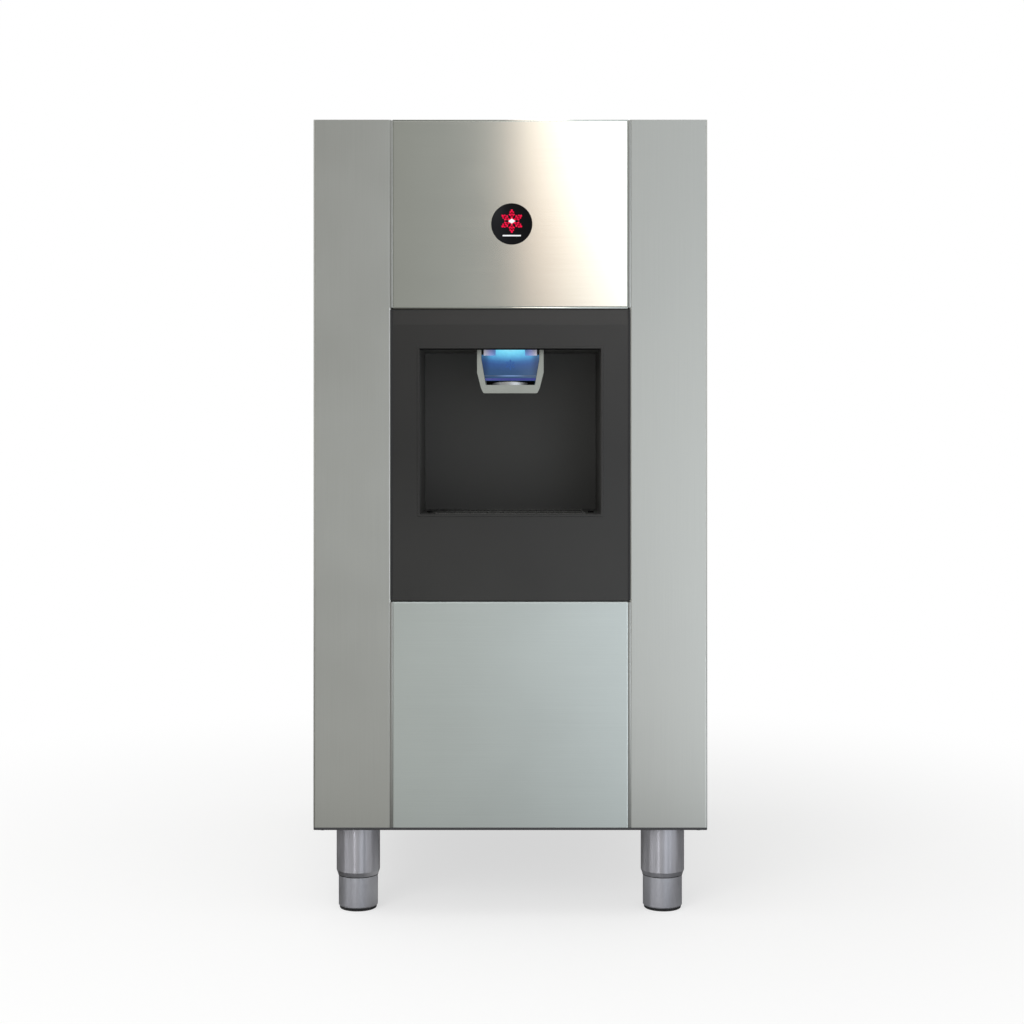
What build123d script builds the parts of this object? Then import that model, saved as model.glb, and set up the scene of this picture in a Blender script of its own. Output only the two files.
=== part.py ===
"""A floor-standing ice dispenser of the kind that serves a hotel corridor.

A stainless cabinet on four screw feet holds an insulated ice bin. A paddle wheel on a motor shaft lifts the ice
to an outlet behind the front, where a solenoid opens a shutter and the ice slides down a duct. The chute at its
end hangs in a lit black alcove: pushing a bucket against it rocks it back, and it presses a switch.

Millimetres. X runs to the right as seen from the front, Y runs to the back, Z is up. The origin is on the floor
under the middle of the cabinet.
"""
from build123d import *
import math
import os

# Cabinet
width = 560.0
depth = 800.0
body_height = 1009.0
leg_height = 125.0
sheet = 1.5
bend_radius = 3.0
flange_width = 111.0
lower_panel_height = 325.0
dispense_panel_height = 415.5
panel_gap = 1.0
seam_gap = 0.8
return_depth = 14.0
panel_depth = 20.0
bottom_lip = 18.0
rear_lip = 12.0
rear_inset = 30.0
fit_gap = 0.3
overrun = 5.0

# Badge
badge_diameter = 58.6
badge_proud = 1.2
badge_height = 860.8
badge_offset = 2.0
badge_corner = 0.5

# Base
pan_sheet = 2.0
pan_upstand = 25.0

# Legs
leg_inset = 59.0
leg_back_inset = 85.0
sleeve_diameter = 63.0
foot_diameter = 56.8
sleeve_bottom = 49.5
sleeve_taper = 6.5
sleeve_taper_width = 2.4
sleeve_web = 34.0
sleeve_roof = 5.0
foot_wall = 2.5
foot_floor = 4.0
foot_overlap = 38.0
foot_corner = 2.0
glide_height = 4.0
glide_inset = 1.6
glide_corner = 1.6
jack_screw_diameter = 16.0
jack_screw_gap = 2.5
stud_diameter = 12.0
stud_above = 16.0
leg_plate_side = 80.0
leg_plate_thickness = 5.0
nut_across = 19.0
nut_height = 9.0

# Bin stands
stand_plate = 3.0
stand_foot = 25.0
stand_frame = 45.0
stand_side_room = 65.0
saddle_rise = 130.0
saddle_from_front = 60.0
saddle_from_back = 70.0
drive_stand_half_width = 150.0
drive_stand_above = 90.0
drive_stand_frame = 60.0

# Ice bin
bin_side_room = 45.0
bin_front_wall = 189.0
bin_rear_room = 174.8
bin_wall = 4.0
bin_foam = 36.0
bin_front_foam = 19.0
bin_back_foam = 26.0
trough_step = 41.0
trough_side_rise = 150.0
foam_top_gap = 2.0

# Outlet window and its throat
outlet_half_width = 45.0
outlet_rise = 59.0
outlet_height = 44.0
outlet_margin = 12.0

# Drive
shaft_diameter = 20.0
shaft_clearance = 0.05
bush_wall = 6.0
bush_flange = 6.0
bush_flange_thickness = 4.0
wheel_clearance = 8.0
wheel_width = 54.0
wheel_plate = 3.0
wheel_ring = 60.0
hub_radius = 28.0
paddle_count = 8
agitator_rod_diameter = 10.0
agitator_clearance = 66.0
agitator_count = 5
agitator_end_gap = 50.0
gearbox_width = 100.0
gearbox_height = 112.0
gearbox_length = 94.0
gearbox_corner = 8.0
shaft_in_gearbox = 70.0
motor_diameter = 88.0
motor_length = 150.0
motor_corner = 5.0
motor_flange = 6.0
motor_collar = 12.0

# Dispensing panel and alcove
dispense_plate = 3.0
dispense_recess = 1.0
strip_height = 22.0
strip_slope = 2.4
dispense_edge = 16.0
alcove_side = 40.0
alcove_sill = 123.1
alcove_head = 56.5
alcove_depth = 162.0
alcove_wall = 2.5
rim_width = 3.0
rim_proud = 0.6
rim_corner = 0.5
alcove_flange = 14.0

# Drip tray and grille
grille_side = 21.0
grille_front = 14.0
grille_depth = 130.0
grille_gap = 1.0
grille_thickness = 2.5
grille_slot_width = 5.0
grille_slot_pitch = 12.0
grille_border = 10.0
grille_rib = 8.0
tray_ledge = 5.0
tray_flange = 8.0
tray_wall = 1.5
tray_depth = 24.0
tray_spigot_bore = 7.0
tray_spigot_wall = 1.5
tray_spigot_length = 24.0

# Rocking chute, its outline measured down from the alcove's ceiling
chute_half_width = 47.6
chute_straight = 33.7
chute_slant_half_width = 41.6
chute_slant_drop = 57.6
chute_foot_half_width = 36.0
chute_drop = 63.3
chute_front = 15.0
chute_plate = 3.0
chute_skin = 2.0
chute_length = 58.0
chute_back_top = 9.0
chute_back_drop = 58.0
window_top = 14.4
window_top_half_width = 41.6
window_slant_half_width = 35.2
window_bottom = 51.5
pivot_setback = 7.0
pivot_rise = 17.0
ear_radius = 8.0
chute_pin_diameter = 6.0
pin_head_diameter = 10.0
pin_head_length = 3.0
pin_overhang = 16.0
spring_radius = 6.5
spring_length = 10.0

# Lens, its clips and the steel lip behind the slot
lens_thickness = 3.0
lens_bottom = 45.5
lens_gap = 0.3
lens_shoulder = 8.4
lens_shoulder_half_width = 38.0
lens_back = 1.0
clip_width = 17.0
clip_height = 8.0
clip_thickness = 1.5
lip_half_width = 26.0
lip_height = 5.0
lip_length = 8.0

# Switch over the chute's nose
nose_reach = 15.0
nose_radius = 2.0
nose_length = 10.0
switch_button_radius = 2.5
switch_button_length = 13.0
switch_width = 12.0
switch_length = 28.0
switch_height = 18.0
switch_gap = 8.0
switch_bore = 12.0

# Outlet duct
duct_sheet = 1.5
duct_gap = 0.5
duct_cheek_rise = 34.0
duct_flange = 14.0
duct_front_margin = 4.0
throat_back = 67.0
throat_front = 1.6
duct_lip_drop = 6.0
duct_flat = 22.0
duct_head = 18.0
bridge_rise = 30.0
duct_bridge_width = 18.0

# Shutter and solenoid
shutter_shaft_diameter = 8.0
shutter_setback = 17.0
shutter_rise = 10.0
shutter_plate = 2.0
shutter_side_gap = 1.0
shutter_below = 4.0
shutter_swing = 35.0
shutter_arm = 25.0
shutter_arm_width = 10.0
shutter_arm_thickness = 3.0
shutter_arm_gap = 3.0
slot_clearance = 0.5
crosspin_radius = 2.0
plunger_diameter = 12.0
plunger_end = 4.0
solenoid_reach = 26.0
solenoid_width = 30.0
solenoid_height = 34.0
solenoid_length = 42.0
solenoid_engagement = 20.0
solenoid_wall = 3.0

# Light module
light_half_length = 24.0
light_width = 14.0
light_thickness = 5.0

# Top deck, lid and hinges
deck_turndown = 15.0
lid_thickness = 16.0
lid_overlap = 20.0
lid_plug = 18.0
lid_plug_gap = 8.0
lid_corner = 3.0
gasket_height = 2.0
gasket_width = 10.0
hinge_offset = 8.0
hinge_pin_diameter = 4.0
hinge_knuckle_radius = 5.0
hinge_length = 60.0
hinge_place = 150.0
hinge_plate = 1.5
hinge_leaf = 24.0
handle_half_length = 60.0
handle_reach = 14.0
handle_thickness = 6.0
handle_rise = 8.0
handle_corner = 2.5

# Drains and back
pipe_radius = 10.0
pipe_wall = 2.0
pipe_bend = 30.0
pipe_run_height = 200.0
pipe_from_back = 40.0
pipe_flange = 6.0
pipe_flange_thickness = 3.0
hose_wall = 2.0
hose_bend = 40.0
hose_run_height = 240.0
branch_length = 36.0
gland_thread = 20.0
gland_bore = 9.0
gland_body = 26.0
gland_length = 22.0
gland_offset = 180.0
gland_height = 210.0
louvre_count = 9
louvre_pitch = 16.0
louvre_width = 180.0
louvre_height = 5.0
louvre_base = 520.0

# Control box
control_width = 120.0
control_height = 170.0
control_depth = 60.0
control_sheet = 1.5
control_side_room = 70.0
control_from_front = 60.0
control_flange = 12.0
board_thickness = 1.6
board_margin = 14.0
board_standoff = 6.0
relay_size = 22.0
relay_height = 16.0

# Screws
screw_head_radius = 5.0
screw_head_height = 2.4
screw_shank_radius = 2.0
front_screw_inset = 12.0
rear_screw_inset = 24.0

# Places worked out from the sizes above
half_width = width / 2
half_depth = depth / 2
base_z = leg_height
top_z = leg_height + body_height
front_y = -half_depth + badge_proud
panel_y = front_y + dispense_recess
seam_x = half_width - flange_width
wall_x = half_width - sheet
rear_panel_y = half_depth - rear_inset
lower_top_z = base_z + lower_panel_height
upper_base_z = lower_top_z + dispense_panel_height
pan_z = base_z + sheet
floor_z = pan_z + pan_sheet
leg_x = half_width - leg_inset
leg_front_y = front_y + leg_inset
leg_back_y = half_depth - leg_back_inset
leg_places = [(x, y) for y in (leg_front_y, leg_back_y) for x in (-leg_x, leg_x)]
alcove_half_width = seam_x - alcove_side
alcove_floor = lower_top_z + alcove_sill
alcove_ceiling = upper_base_z - alcove_head
grille_half_width = alcove_half_width - grille_side
outlet_sill = alcove_ceiling + outlet_rise
outlet_head = outlet_sill + outlet_height
bin_half_width = half_width - bin_side_room
trough_radius = bin_half_width - trough_step
axle_height = outlet_head + outlet_margin - trough_radius
agitator_reach = trough_radius - agitator_clearance
stand_half_width = half_width - stand_side_room
bin_front_y = front_y + bin_front_wall
bin_back_y = half_depth - bin_rear_room
liner_front_y = bin_front_y - bin_wall
foam_front_y = liner_front_y - bin_front_foam
liner_back_y = bin_back_y + bin_wall
foam_back_y = liner_back_y + bin_back_foam
deck_z = top_z - sheet
alcove_back_y = panel_y + alcove_depth
liner_ceiling_z = alcove_ceiling + alcove_wall
chute_y = panel_y + chute_front
pivot_y = chute_y + pivot_setback
pivot_z = alcove_ceiling + pivot_rise
duct_inner = chute_half_width + duct_gap
duct_outer = duct_inner + duct_sheet
throat_y = chute_y + throat_back
throat_front_y = pivot_y - ear_radius - throat_front
bridge_z = pivot_z + bridge_rise
switch_button_x = switch_width / 2 - duct_inner
shutter_y = foam_front_y - shutter_setback
shutter_z = outlet_head + shutter_rise
half_swing = math.radians(shutter_swing / 2)
crosspin_y = shutter_y + shutter_arm * math.sin(half_swing)
plunger_z = shutter_z - shutter_arm * math.cos(half_swing)
plunger_x = duct_outer + solenoid_width / 2
solenoid_y = crosspin_y - solenoid_reach
shaft_bore = shaft_diameter / 2 + shaft_clearance
wheel_front_y = bin_front_y + bush_flange_thickness + fit_gap
lid_front_y = bin_front_y - lid_overlap
lid_back_y = bin_back_y + lid_overlap
lid_base_z = top_z + gasket_height + fit_gap
hinge_y = lid_back_y + hinge_offset
hinge_z = lid_base_z + hinge_knuckle_radius
pipe_y = bin_back_y - pipe_from_back


def block(x0, x1, y0, y1, z0, z1):
    """A box between its two corners."""
    middle = ((x0 + x1) / 2, (y0 + y1) / 2, (z0 + z1) / 2)
    return Pos(*middle) * Box(x1 - x0, y1 - y0, z1 - z0)


def upright(radius, x, y, z0, z1):
    """A cylinder along Z."""
    return Pos(x, y, (z0 + z1) / 2) * Cylinder(radius, z1 - z0)


def crosswise(radius, x0, x1, y, z):
    """A cylinder along X."""
    return Pos((x0 + x1) / 2, y, z) * Rot(0, 90, 0) * Cylinder(radius, x1 - x0)


def lengthwise(radius, x, y0, y1, z):
    """A cylinder along Y."""
    return Pos(x, (y0 + y1) / 2, z) * Rot(90, 0, 0) * Cylinder(radius, y1 - y0)


def front_slab(face, y0, y1):
    """A face drawn in X and Z, given its thickness from y0 back to y1."""
    return Pos(0, y0, 0) * extrude(Plane.XZ * face, amount=y1 - y0, dir=(0, 1, 0))


def side_slab(face, x0, x1):
    """A face drawn in Y and Z, given its thickness from x0 to x1."""
    return Pos(x0, 0, 0) * extrude(Plane.YZ * face, amount=x1 - x0, dir=(1, 0, 0))


def outline(*points):
    """A face with straight edges through the points."""
    return Polygon(*points, align=None)


def folded(points, thickness, side=Side.LEFT):
    """The section of a sheet folded along the points, with its bends."""
    strip = offset(FilletPolyline(*points, radius=bend_radius), amount=thickness, side=side, closed=True)
    return make_face(strip.edges())


def mirrored(piece):
    """The same piece on the other side of the cabinet's middle."""
    return mirror(piece, about=Plane.YZ)


def save(name, *pieces):
    """Write one node, its pieces as separate solids."""
    solids = [solid for piece in pieces for solid in piece.solids()]
    node = solids[0] if len(solids) == 1 else Compound(children=solids)
    node.label = name
    export_step(node, f"parts/{name}.step")
    print(name, len(solids), round(sum(solid.volume for solid in solids)))


def tray(x0, x1, y0, y1, z0, z1, thickness):
    """A sheet panel facing the front, its four edges folded back to y1."""
    shell = block(x0, x1, y0, y1, z0, z1)
    shell = fillet(shell.faces().sort_by(Axis.Y)[0].edges(), bend_radius)
    hollow = block(x0 + thickness, x1 - thickness, y0 + thickness, y1 + overrun, z0 + thickness, z1 - thickness)
    hollow = fillet(hollow.faces().sort_by(Axis.Y)[0].edges(), bend_radius - thickness)
    return shell - hollow


def bottom_screw_places():
    """Where the screws under the cabinet's edge stand."""
    x = half_width - front_screw_inset
    ys = (front_y + front_screw_inset, 0, rear_panel_y - front_screw_inset)
    return [(side * x, y) for side in (-1, 1) for y in ys]


def screw_holes():
    """What the screws under the edge take out of the lips and the pan."""
    return [upright(screw_shank_radius, x, y, base_z - overrun, floor_z + overrun)
            for x, y in bottom_screw_places()]


def side_panel():
    """The right side: front flange, wall and rear lip folded from one sheet, with a lip under the base pan."""
    seam = seam_x + seam_gap / 2
    points = [(seam, front_y + return_depth), (seam, front_y), (half_width, front_y),
              (half_width, half_depth), (half_width - rear_lip, half_depth)]
    panel = Pos(0, 0, base_z) * extrude(folded(points, sheet), amount=body_height)
    inner_y = front_y + sheet
    lip_x = wall_x - bottom_lip
    panel += block(lip_x, wall_x, inner_y, rear_panel_y, base_z, pan_z)
    panel += block(seam + sheet, wall_x, inner_y, inner_y + bottom_lip, base_z, pan_z)
    for hole in screw_holes():
        panel -= hole
    return panel


def corner_fills(z0, z1):
    """The two front corners of a sheet that fills the space inside the side panels' bends."""
    x0 = seam_x + seam_gap / 2 + sheet
    fill = block(x0, wall_x, front_y + sheet, front_y + panel_depth, z0, z1)
    fill = fillet(fill.edges().filter_by(Axis.Z).sort_by(Axis.Y)[:2], bend_radius - sheet)
    return fill, mirrored(fill)


def base_pan():
    """The floor of the cabinet, standing on the side panels' lips."""
    y0 = front_y + panel_depth
    y1 = rear_panel_y - sheet
    pan = block(-wall_x, wall_x, y0, y1, pan_z, floor_z)
    pan += block(-seam_x, seam_x, y0, y0 + pan_sheet, pan_z, pan_z + pan_upstand)
    pan += block(-wall_x, wall_x, y1 - pan_sheet, y1, pan_z, pan_z + pan_upstand)
    for fill in corner_fills(pan_z, floor_z):
        pan += fill
    for x, y in leg_places:
        pan -= upright(stud_diameter / 2, x, y, pan_z - overrun, floor_z + overrun)
    for hole in screw_holes():
        pan -= hole
    return pan - rear_screw_shanks()


def bottom_screws():
    """The pan head screws under the cabinet's edge."""
    screws = []
    for x, y in bottom_screw_places():
        head = upright(screw_head_radius, x, y, base_z - screw_head_height, base_z)
        head = fillet(head.faces().sort_by(Axis.Z)[0].edges(), screw_head_height / 2)
        screws.append(head + upright(screw_shank_radius, x, y, base_z, floor_z))
    return screws


def rear_screw_places():
    """Where the rear panel is screwed to the pan's upstand and to the deck's turndown."""
    low_z = floor_z + pan_upstand / 2
    high_z = deck_z - deck_turndown / 2
    outer_x = wall_x - rear_screw_inset
    return [(x, z) for x in (-outer_x, 0, outer_x) for z in (low_z, high_z)]


def rear_screw_shanks():
    """The shanks of the rear screws, which also cut their holes."""
    y0 = rear_panel_y - sheet - pan_sheet
    return [lengthwise(screw_shank_radius, x, y0, rear_panel_y, z) for x, z in rear_screw_places()]


def rear_screws():
    """The pan head screws of the rear panel."""
    screws = []
    for (x, z), shank in zip(rear_screw_places(), rear_screw_shanks()):
        head = lengthwise(screw_head_radius, x, rear_panel_y, rear_panel_y + screw_head_height, z)
        head = fillet(head.faces().sort_by(Axis.Y)[-1].edges(), screw_head_height / 2)
        screws.append(head + shank)
    return screws


def rear_panel():
    """The back, set in from the sides' edges, with louvres for the motor."""
    y0 = rear_panel_y - sheet
    panel = block(-wall_x, wall_x, y0, rear_panel_y, floor_z, deck_z)
    panel -= block(-wall_x, wall_x, y0 - overrun, rear_panel_y + overrun, floor_z - overrun, floor_z)
    for row in range(louvre_count):
        z = louvre_base + row * louvre_pitch
        panel -= block(-louvre_width / 2, louvre_width / 2, y0 - overrun, rear_panel_y + overrun,
                       z, z + louvre_height)
    panel -= lengthwise(pipe_radius, 0, y0 - overrun, rear_panel_y + overrun, pipe_run_height)
    panel -= lengthwise(gland_thread / 2, -gland_offset, y0 - overrun, rear_panel_y + overrun, gland_height)
    return panel - rear_screw_shanks()


def front_panels():
    """The two stainless front panels, above and below the dispensing panel."""
    x = seam_x - seam_gap / 2
    y1 = front_y + panel_depth
    upper = tray(-x, x, front_y, y1, upper_base_z + panel_gap / 2, top_z, sheet)
    lower = tray(-x, x, front_y, y1, base_z, lower_top_z - panel_gap / 2, sheet)
    return upper, lower


def badge_disc():
    """The round badge on the upper panel, bare."""
    disc = lengthwise(badge_diameter / 2, badge_offset, front_y - badge_proud, front_y, base_z + badge_height)
    return fillet(disc.faces().sort_by(Axis.Y)[0].edges(), badge_corner)


def leg_sleeve(x, y):
    """A leg's fixed sleeve: a tube with a threaded roof, and a stud up through the pan."""
    radius = sleeve_diameter / 2
    taper_z = sleeve_bottom + sleeve_taper
    sleeve = upright(radius, x, y, taper_z, pan_z)
    sleeve += Pos(x, y, (sleeve_bottom + taper_z) / 2) * Cone(radius - sleeve_taper_width, radius, sleeve_taper)
    sleeve -= upright(foot_diameter / 2 + fit_gap, x, y, sleeve_bottom - overrun, pan_z - sleeve_web)
    sleeve -= upright(jack_screw_diameter / 2 + fit_gap, x, y, sleeve_bottom, pan_z - sleeve_roof)
    stud_top = floor_z + leg_plate_thickness + stud_above
    return sleeve + upright(stud_diameter / 2, x, y, pan_z, stud_top)


def leg_foot(x, y):
    """A leg's foot: a tube with a floor and the screw that turns in the sleeve's roof."""
    radius = foot_diameter / 2
    foot = upright(radius, x, y, glide_height, sleeve_bottom + foot_overlap)
    foot = fillet(foot.faces().sort_by(Axis.Z)[0].edges(), foot_corner)
    floor = glide_height + foot_floor
    foot -= upright(radius - foot_wall, x, y, floor, sleeve_bottom + foot_overlap + overrun)
    return foot + upright(jack_screw_diameter / 2, x, y, floor, pan_z - sleeve_roof - jack_screw_gap)


def leg_glide(x, y):
    """The black glide under a foot."""
    glide = upright(foot_diameter / 2 - glide_inset, x, y, 0, glide_height)
    return fillet(glide.faces().sort_by(Axis.Z)[0].edges(), glide_corner)


def leg_plate(x, y):
    """The plate that spreads a leg's load over the pan."""
    side = leg_plate_side / 2
    plate = block(x - side, x + side, y - side, y + side, floor_z, floor_z + leg_plate_thickness)
    return plate - upright(stud_diameter / 2, x, y, floor_z - overrun, floor_z + leg_plate_thickness + overrun)


def leg_nut(x, y):
    """The nut on a leg's stud."""
    seat_z = floor_z + leg_plate_thickness
    nut = Pos(x, y, seat_z) * extrude(RegularPolygon(nut_across / 2, 6, major_radius=False), amount=nut_height)
    return nut - upright(stud_diameter / 2, x, y, seat_z - overrun, seat_z + nut_height + overrun)


def bin_solid(grow, y0, y1, top):
    """The bin's inner space, made larger by grow: straight sides over a round trough."""
    side = bin_half_width + grow
    radius = trough_radius + grow
    shoulder_z = axle_height + trough_side_rise
    edges = Polyline((-radius, axle_height), (-side, shoulder_z), (-side, top),
                     (side, top), (side, shoulder_z), (radius, axle_height)).edges()
    bottom = ThreePointArc((radius, axle_height), (0, axle_height - radius), (-radius, axle_height))
    return front_slab(make_face([*edges, bottom]), y0, y1)


def outlet_window():
    """What the outlet takes out of the bin's front."""
    return block(-outlet_half_width, outlet_half_width, foam_front_y - overrun, bin_front_y + overrun,
                 outlet_sill, outlet_head)


def drain_hole():
    """What the bin's drain takes out of the trough and its foam."""
    bottom = axle_height - trough_radius - bin_wall - bin_foam
    return upright(pipe_radius, 0, pipe_y, bottom - overrun, axle_height - trough_radius + bin_wall)


def bin_liner():
    """The bin's plastic liner, open at the top."""
    liner = bin_solid(bin_wall, liner_front_y, liner_back_y, deck_z)
    liner -= bin_solid(0, bin_front_y, bin_back_y, deck_z + overrun)
    liner -= lengthwise(shaft_bore + bush_wall, 0, liner_front_y - overrun, liner_back_y + overrun, axle_height)
    return liner - outlet_window() - drain_hole()


def bin_insulation():
    """The foam round the liner."""
    foam = bin_solid(bin_wall + bin_foam, foam_front_y, foam_back_y, deck_z - foam_top_gap)
    foam -= bin_solid(bin_wall, liner_front_y, liner_back_y, deck_z + overrun)
    foam -= lengthwise(shaft_bore + bush_wall, 0, foam_front_y - overrun, foam_back_y + overrun, axle_height)
    return foam - outlet_window() - drain_hole()


def stand(y, half, top, window_half, window_top):
    """An upright plate on the base pan, with a window and a turned foot."""
    plate = block(-half, half, y, y + stand_plate, floor_z, top)
    plate += block(-half, half, y + stand_plate, y + stand_foot, floor_z, floor_z + stand_plate)
    return plate - block(-window_half, window_half, y - overrun, y + stand_plate + overrun,
                         floor_z + stand_frame, window_top)


def bin_saddles():
    """The two stands whose tops are cut to the bin's round."""
    top = axle_height - saddle_rise
    window_top = axle_height - trough_radius - bin_wall - bin_foam - stand_frame
    saddles = []
    for y in (bin_front_y + saddle_from_front, bin_back_y - saddle_from_back):
        plate = stand(y, stand_half_width, top, stand_half_width - stand_frame, window_top)
        saddles.append(plate - bin_solid(bin_wall + bin_foam, y - overrun, y + stand_plate + overrun, deck_z))
    return saddles


def drive_stand():
    """The stand behind the bin that carries the gearbox."""
    window_top = axle_height - gearbox_height / 2 - drive_stand_frame
    plate = stand(foam_back_y, drive_stand_half_width, axle_height + drive_stand_above,
                  drive_stand_half_width - drive_stand_frame, window_top)
    return plate - lengthwise(shaft_diameter, 0, foam_back_y - overrun, foam_back_y + stand_foot, axle_height)


def shaft_bushes():
    """The two flanged bushes of the drive shaft, in the bin's front and back."""
    outer = shaft_bore + bush_wall
    flange = outer + bush_flange
    front = lengthwise(outer, 0, foam_front_y, bin_front_y, axle_height)
    front += lengthwise(flange, 0, bin_front_y, bin_front_y + bush_flange_thickness, axle_height)
    back = lengthwise(outer, 0, bin_back_y, foam_back_y, axle_height)
    back += lengthwise(flange, 0, bin_back_y - bush_flange_thickness, bin_back_y, axle_height)
    bore = lengthwise(shaft_bore, 0, foam_front_y - overrun, foam_back_y + overrun, axle_height)
    return front - bore, back - bore


def agitator_places():
    """Where the rods stand along the shaft, and how far each is turned from the one before it."""
    first_y = wheel_front_y + wheel_width + agitator_end_gap
    last_y = bin_back_y - agitator_end_gap
    step = (last_y - first_y) / (agitator_count - 1)
    return [(first_y + index * step, index * 360 / (2 * agitator_count)) for index in range(agitator_count)]


def agitator_rods():
    """The rods that keep the ice loose, each through the shaft."""
    return [Pos(0, y, axle_height) * Rot(0, turn, 0) * Cylinder(agitator_rod_diameter / 2, 2 * agitator_reach)
            for y, turn in agitator_places()]


def drive_shaft():
    """The shaft from the bin's front to the gearbox, cross drilled for the rods."""
    end_y = foam_back_y + stand_plate + shaft_in_gearbox
    shaft = lengthwise(shaft_diameter / 2, 0, foam_front_y + fit_gap, end_y, axle_height)
    for rod in agitator_rods():
        shaft -= rod
    return shaft


def paddle_wheel():
    """The wheel that lifts ice to the outlet: a hub, radial paddles and a ring behind them."""
    radius = trough_radius - wheel_clearance
    y1 = wheel_front_y + wheel_width
    wheel = lengthwise(hub_radius, 0, wheel_front_y, y1, axle_height)
    wheel += (lengthwise(radius, 0, y1 - wheel_plate, y1, axle_height)
              - lengthwise(radius - wheel_ring, 0, y1 - wheel_plate - overrun, y1 + overrun, axle_height))
    root = hub_radius - wheel_plate
    for index in range(paddle_count):
        paddle = block(root, radius - wheel_plate / 2, wheel_front_y, y1, -wheel_plate / 2, wheel_plate / 2)
        wheel += Pos(0, 0, axle_height) * Rot(0, index * 360 / paddle_count, 0) * paddle
    return wheel - lengthwise(shaft_diameter / 2, 0, wheel_front_y - overrun, y1 + overrun, axle_height)


def gearbox():
    """The right-angle gearbox bolted to the drive stand."""
    y0 = foam_back_y + stand_plate
    y1 = y0 + gearbox_length
    half = gearbox_width / 2
    rise = gearbox_height / 2
    case = block(-half, half, y0, y1, axle_height - rise, axle_height + rise)
    case = fillet(case.edges().filter_by(Axis.Y), gearbox_corner)
    return case - lengthwise(shaft_bore, 0, y0 - overrun, y0 + shaft_in_gearbox + fit_gap, axle_height)


def motor():
    """The motor hanging under the gearbox on its flange."""
    y = foam_back_y + stand_plate + gearbox_length / 2
    seat_z = axle_height - gearbox_height / 2
    half = motor_diameter / 2
    body = block(-half, half, y - half, y + half, seat_z - motor_flange, seat_z)
    can = upright(half, 0, y, seat_z - motor_flange - motor_length, seat_z - motor_flange)
    can = fillet(can.faces().sort_by(Axis.Z)[0].edges(), motor_corner)
    y1 = y + half - motor_corner
    box_z = seat_z - motor_flange - motor_length / 2
    return body + can + block(half - motor_collar, half + motor_collar, y - motor_collar, y1,
                              box_z - motor_collar, box_z + 2 * motor_collar)


def dispense_panel():
    """The black panel round the alcove, its top strip sloping back."""
    x = seam_x - seam_gap / 2
    z0 = lower_top_z + panel_gap / 2
    z1 = upper_base_z - panel_gap / 2
    y1 = panel_y + dispense_plate
    section = outline((panel_y, z0), (y1, z0), (y1, z1 - strip_height), (y1 + strip_slope, z1),
                      (panel_y + strip_slope, z1), (panel_y, z1 - strip_height))
    panel = side_slab(section, -x, x)
    edge_y = panel_y + dispense_edge
    frame = block(-x, x, y1, edge_y, z0, z1)
    frame -= block(-x + dispense_plate, x - dispense_plate, y1 - overrun, edge_y + overrun,
                   z0 + dispense_plate, z1 - dispense_plate)
    panel += frame
    rim_x = alcove_half_width + rim_width
    rim = block(-rim_x, rim_x, panel_y - rim_proud, panel_y,
                alcove_floor - rim_width, alcove_ceiling + rim_width)
    rim = fillet(rim.faces().sort_by(Axis.Y)[0].edges(), rim_corner)
    panel += rim
    return panel - block(-alcove_half_width, alcove_half_width, panel_y - overrun, edge_y,
                         alcove_floor, alcove_ceiling)


def grille_span():
    """The grille's front and back."""
    y0 = panel_y + dispense_plate + grille_front
    return y0, y0 + grille_depth


def alcove_liner():
    """The open box behind the dispensing panel, with a throat in its ceiling and a well in its floor."""
    x = alcove_half_width
    y0 = panel_y + dispense_plate
    wall = alcove_wall
    z0 = alcove_floor
    z1 = alcove_ceiling
    liner = block(-x - wall, x + wall, y0, alcove_back_y + wall, z0 - wall, z1 + wall)
    liner += block(-x - alcove_flange, x + alcove_flange, y0, y0 + wall, z0 - alcove_flange, z1 + alcove_flange)
    liner -= block(-x, x, y0 - overrun, alcove_back_y, z0, z1)
    liner -= block(-duct_inner, duct_inner, throat_front_y, throat_y, z1 - overrun, z1 + alcove_flange)
    well_y0, well_y1 = grille_span()
    well_x = grille_half_width + grille_gap
    return liner - block(-well_x, well_x, well_y0 - grille_gap, well_y1 + grille_gap,
                         z0 - alcove_flange, z0 + overrun)


def drip_tray():
    """The pan under the grille, hung by its flange, with the spigot for its hose."""
    y0, y1 = grille_span()
    seat_z = alcove_floor - alcove_wall
    reach = grille_gap + tray_flange
    x = grille_half_width
    pan_base = seat_z - tray_depth
    pan = block(-x - reach, x + reach, y0 - reach, y1 + reach, seat_z - tray_wall, seat_z)
    ledge = tray_ledge - tray_wall
    pan += block(-x + ledge, x - ledge, y0 + ledge, y1 - ledge, pan_base, seat_z)
    pan -= block(-x + tray_ledge, x - tray_ledge, y0 + tray_ledge, y1 - tray_ledge, pan_base + tray_wall,
                 seat_z + overrun)
    y = (y0 + y1) / 2
    pan += upright(tray_spigot_bore + tray_spigot_wall, 0, y, pan_base - tray_spigot_length, pan_base)
    return pan - upright(tray_spigot_bore, 0, y, pan_base - tray_spigot_length - overrun, seat_z)


def drip_grille():
    """The slotted grille that lifts out of the alcove's floor."""
    y0, y1 = grille_span()
    top = alcove_floor
    base = alcove_floor - grille_thickness + fit_gap
    grille = block(-grille_half_width, grille_half_width, y0, y1, base, top)
    middle = (y0 + y1) / 2
    count = int((2 * (grille_half_width - grille_border)) // grille_slot_pitch)
    rows = ((y0 + grille_border, middle - grille_rib / 2), (middle + grille_rib / 2, y1 - grille_border))
    slots = []
    for index in range(count):
        x = (index - (count - 1) / 2) * grille_slot_pitch
        for row in rows:
            slots.append(block(x - grille_slot_width / 2, x + grille_slot_width / 2, *row,
                               base - overrun, top + overrun))
    return grille - slots


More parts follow.
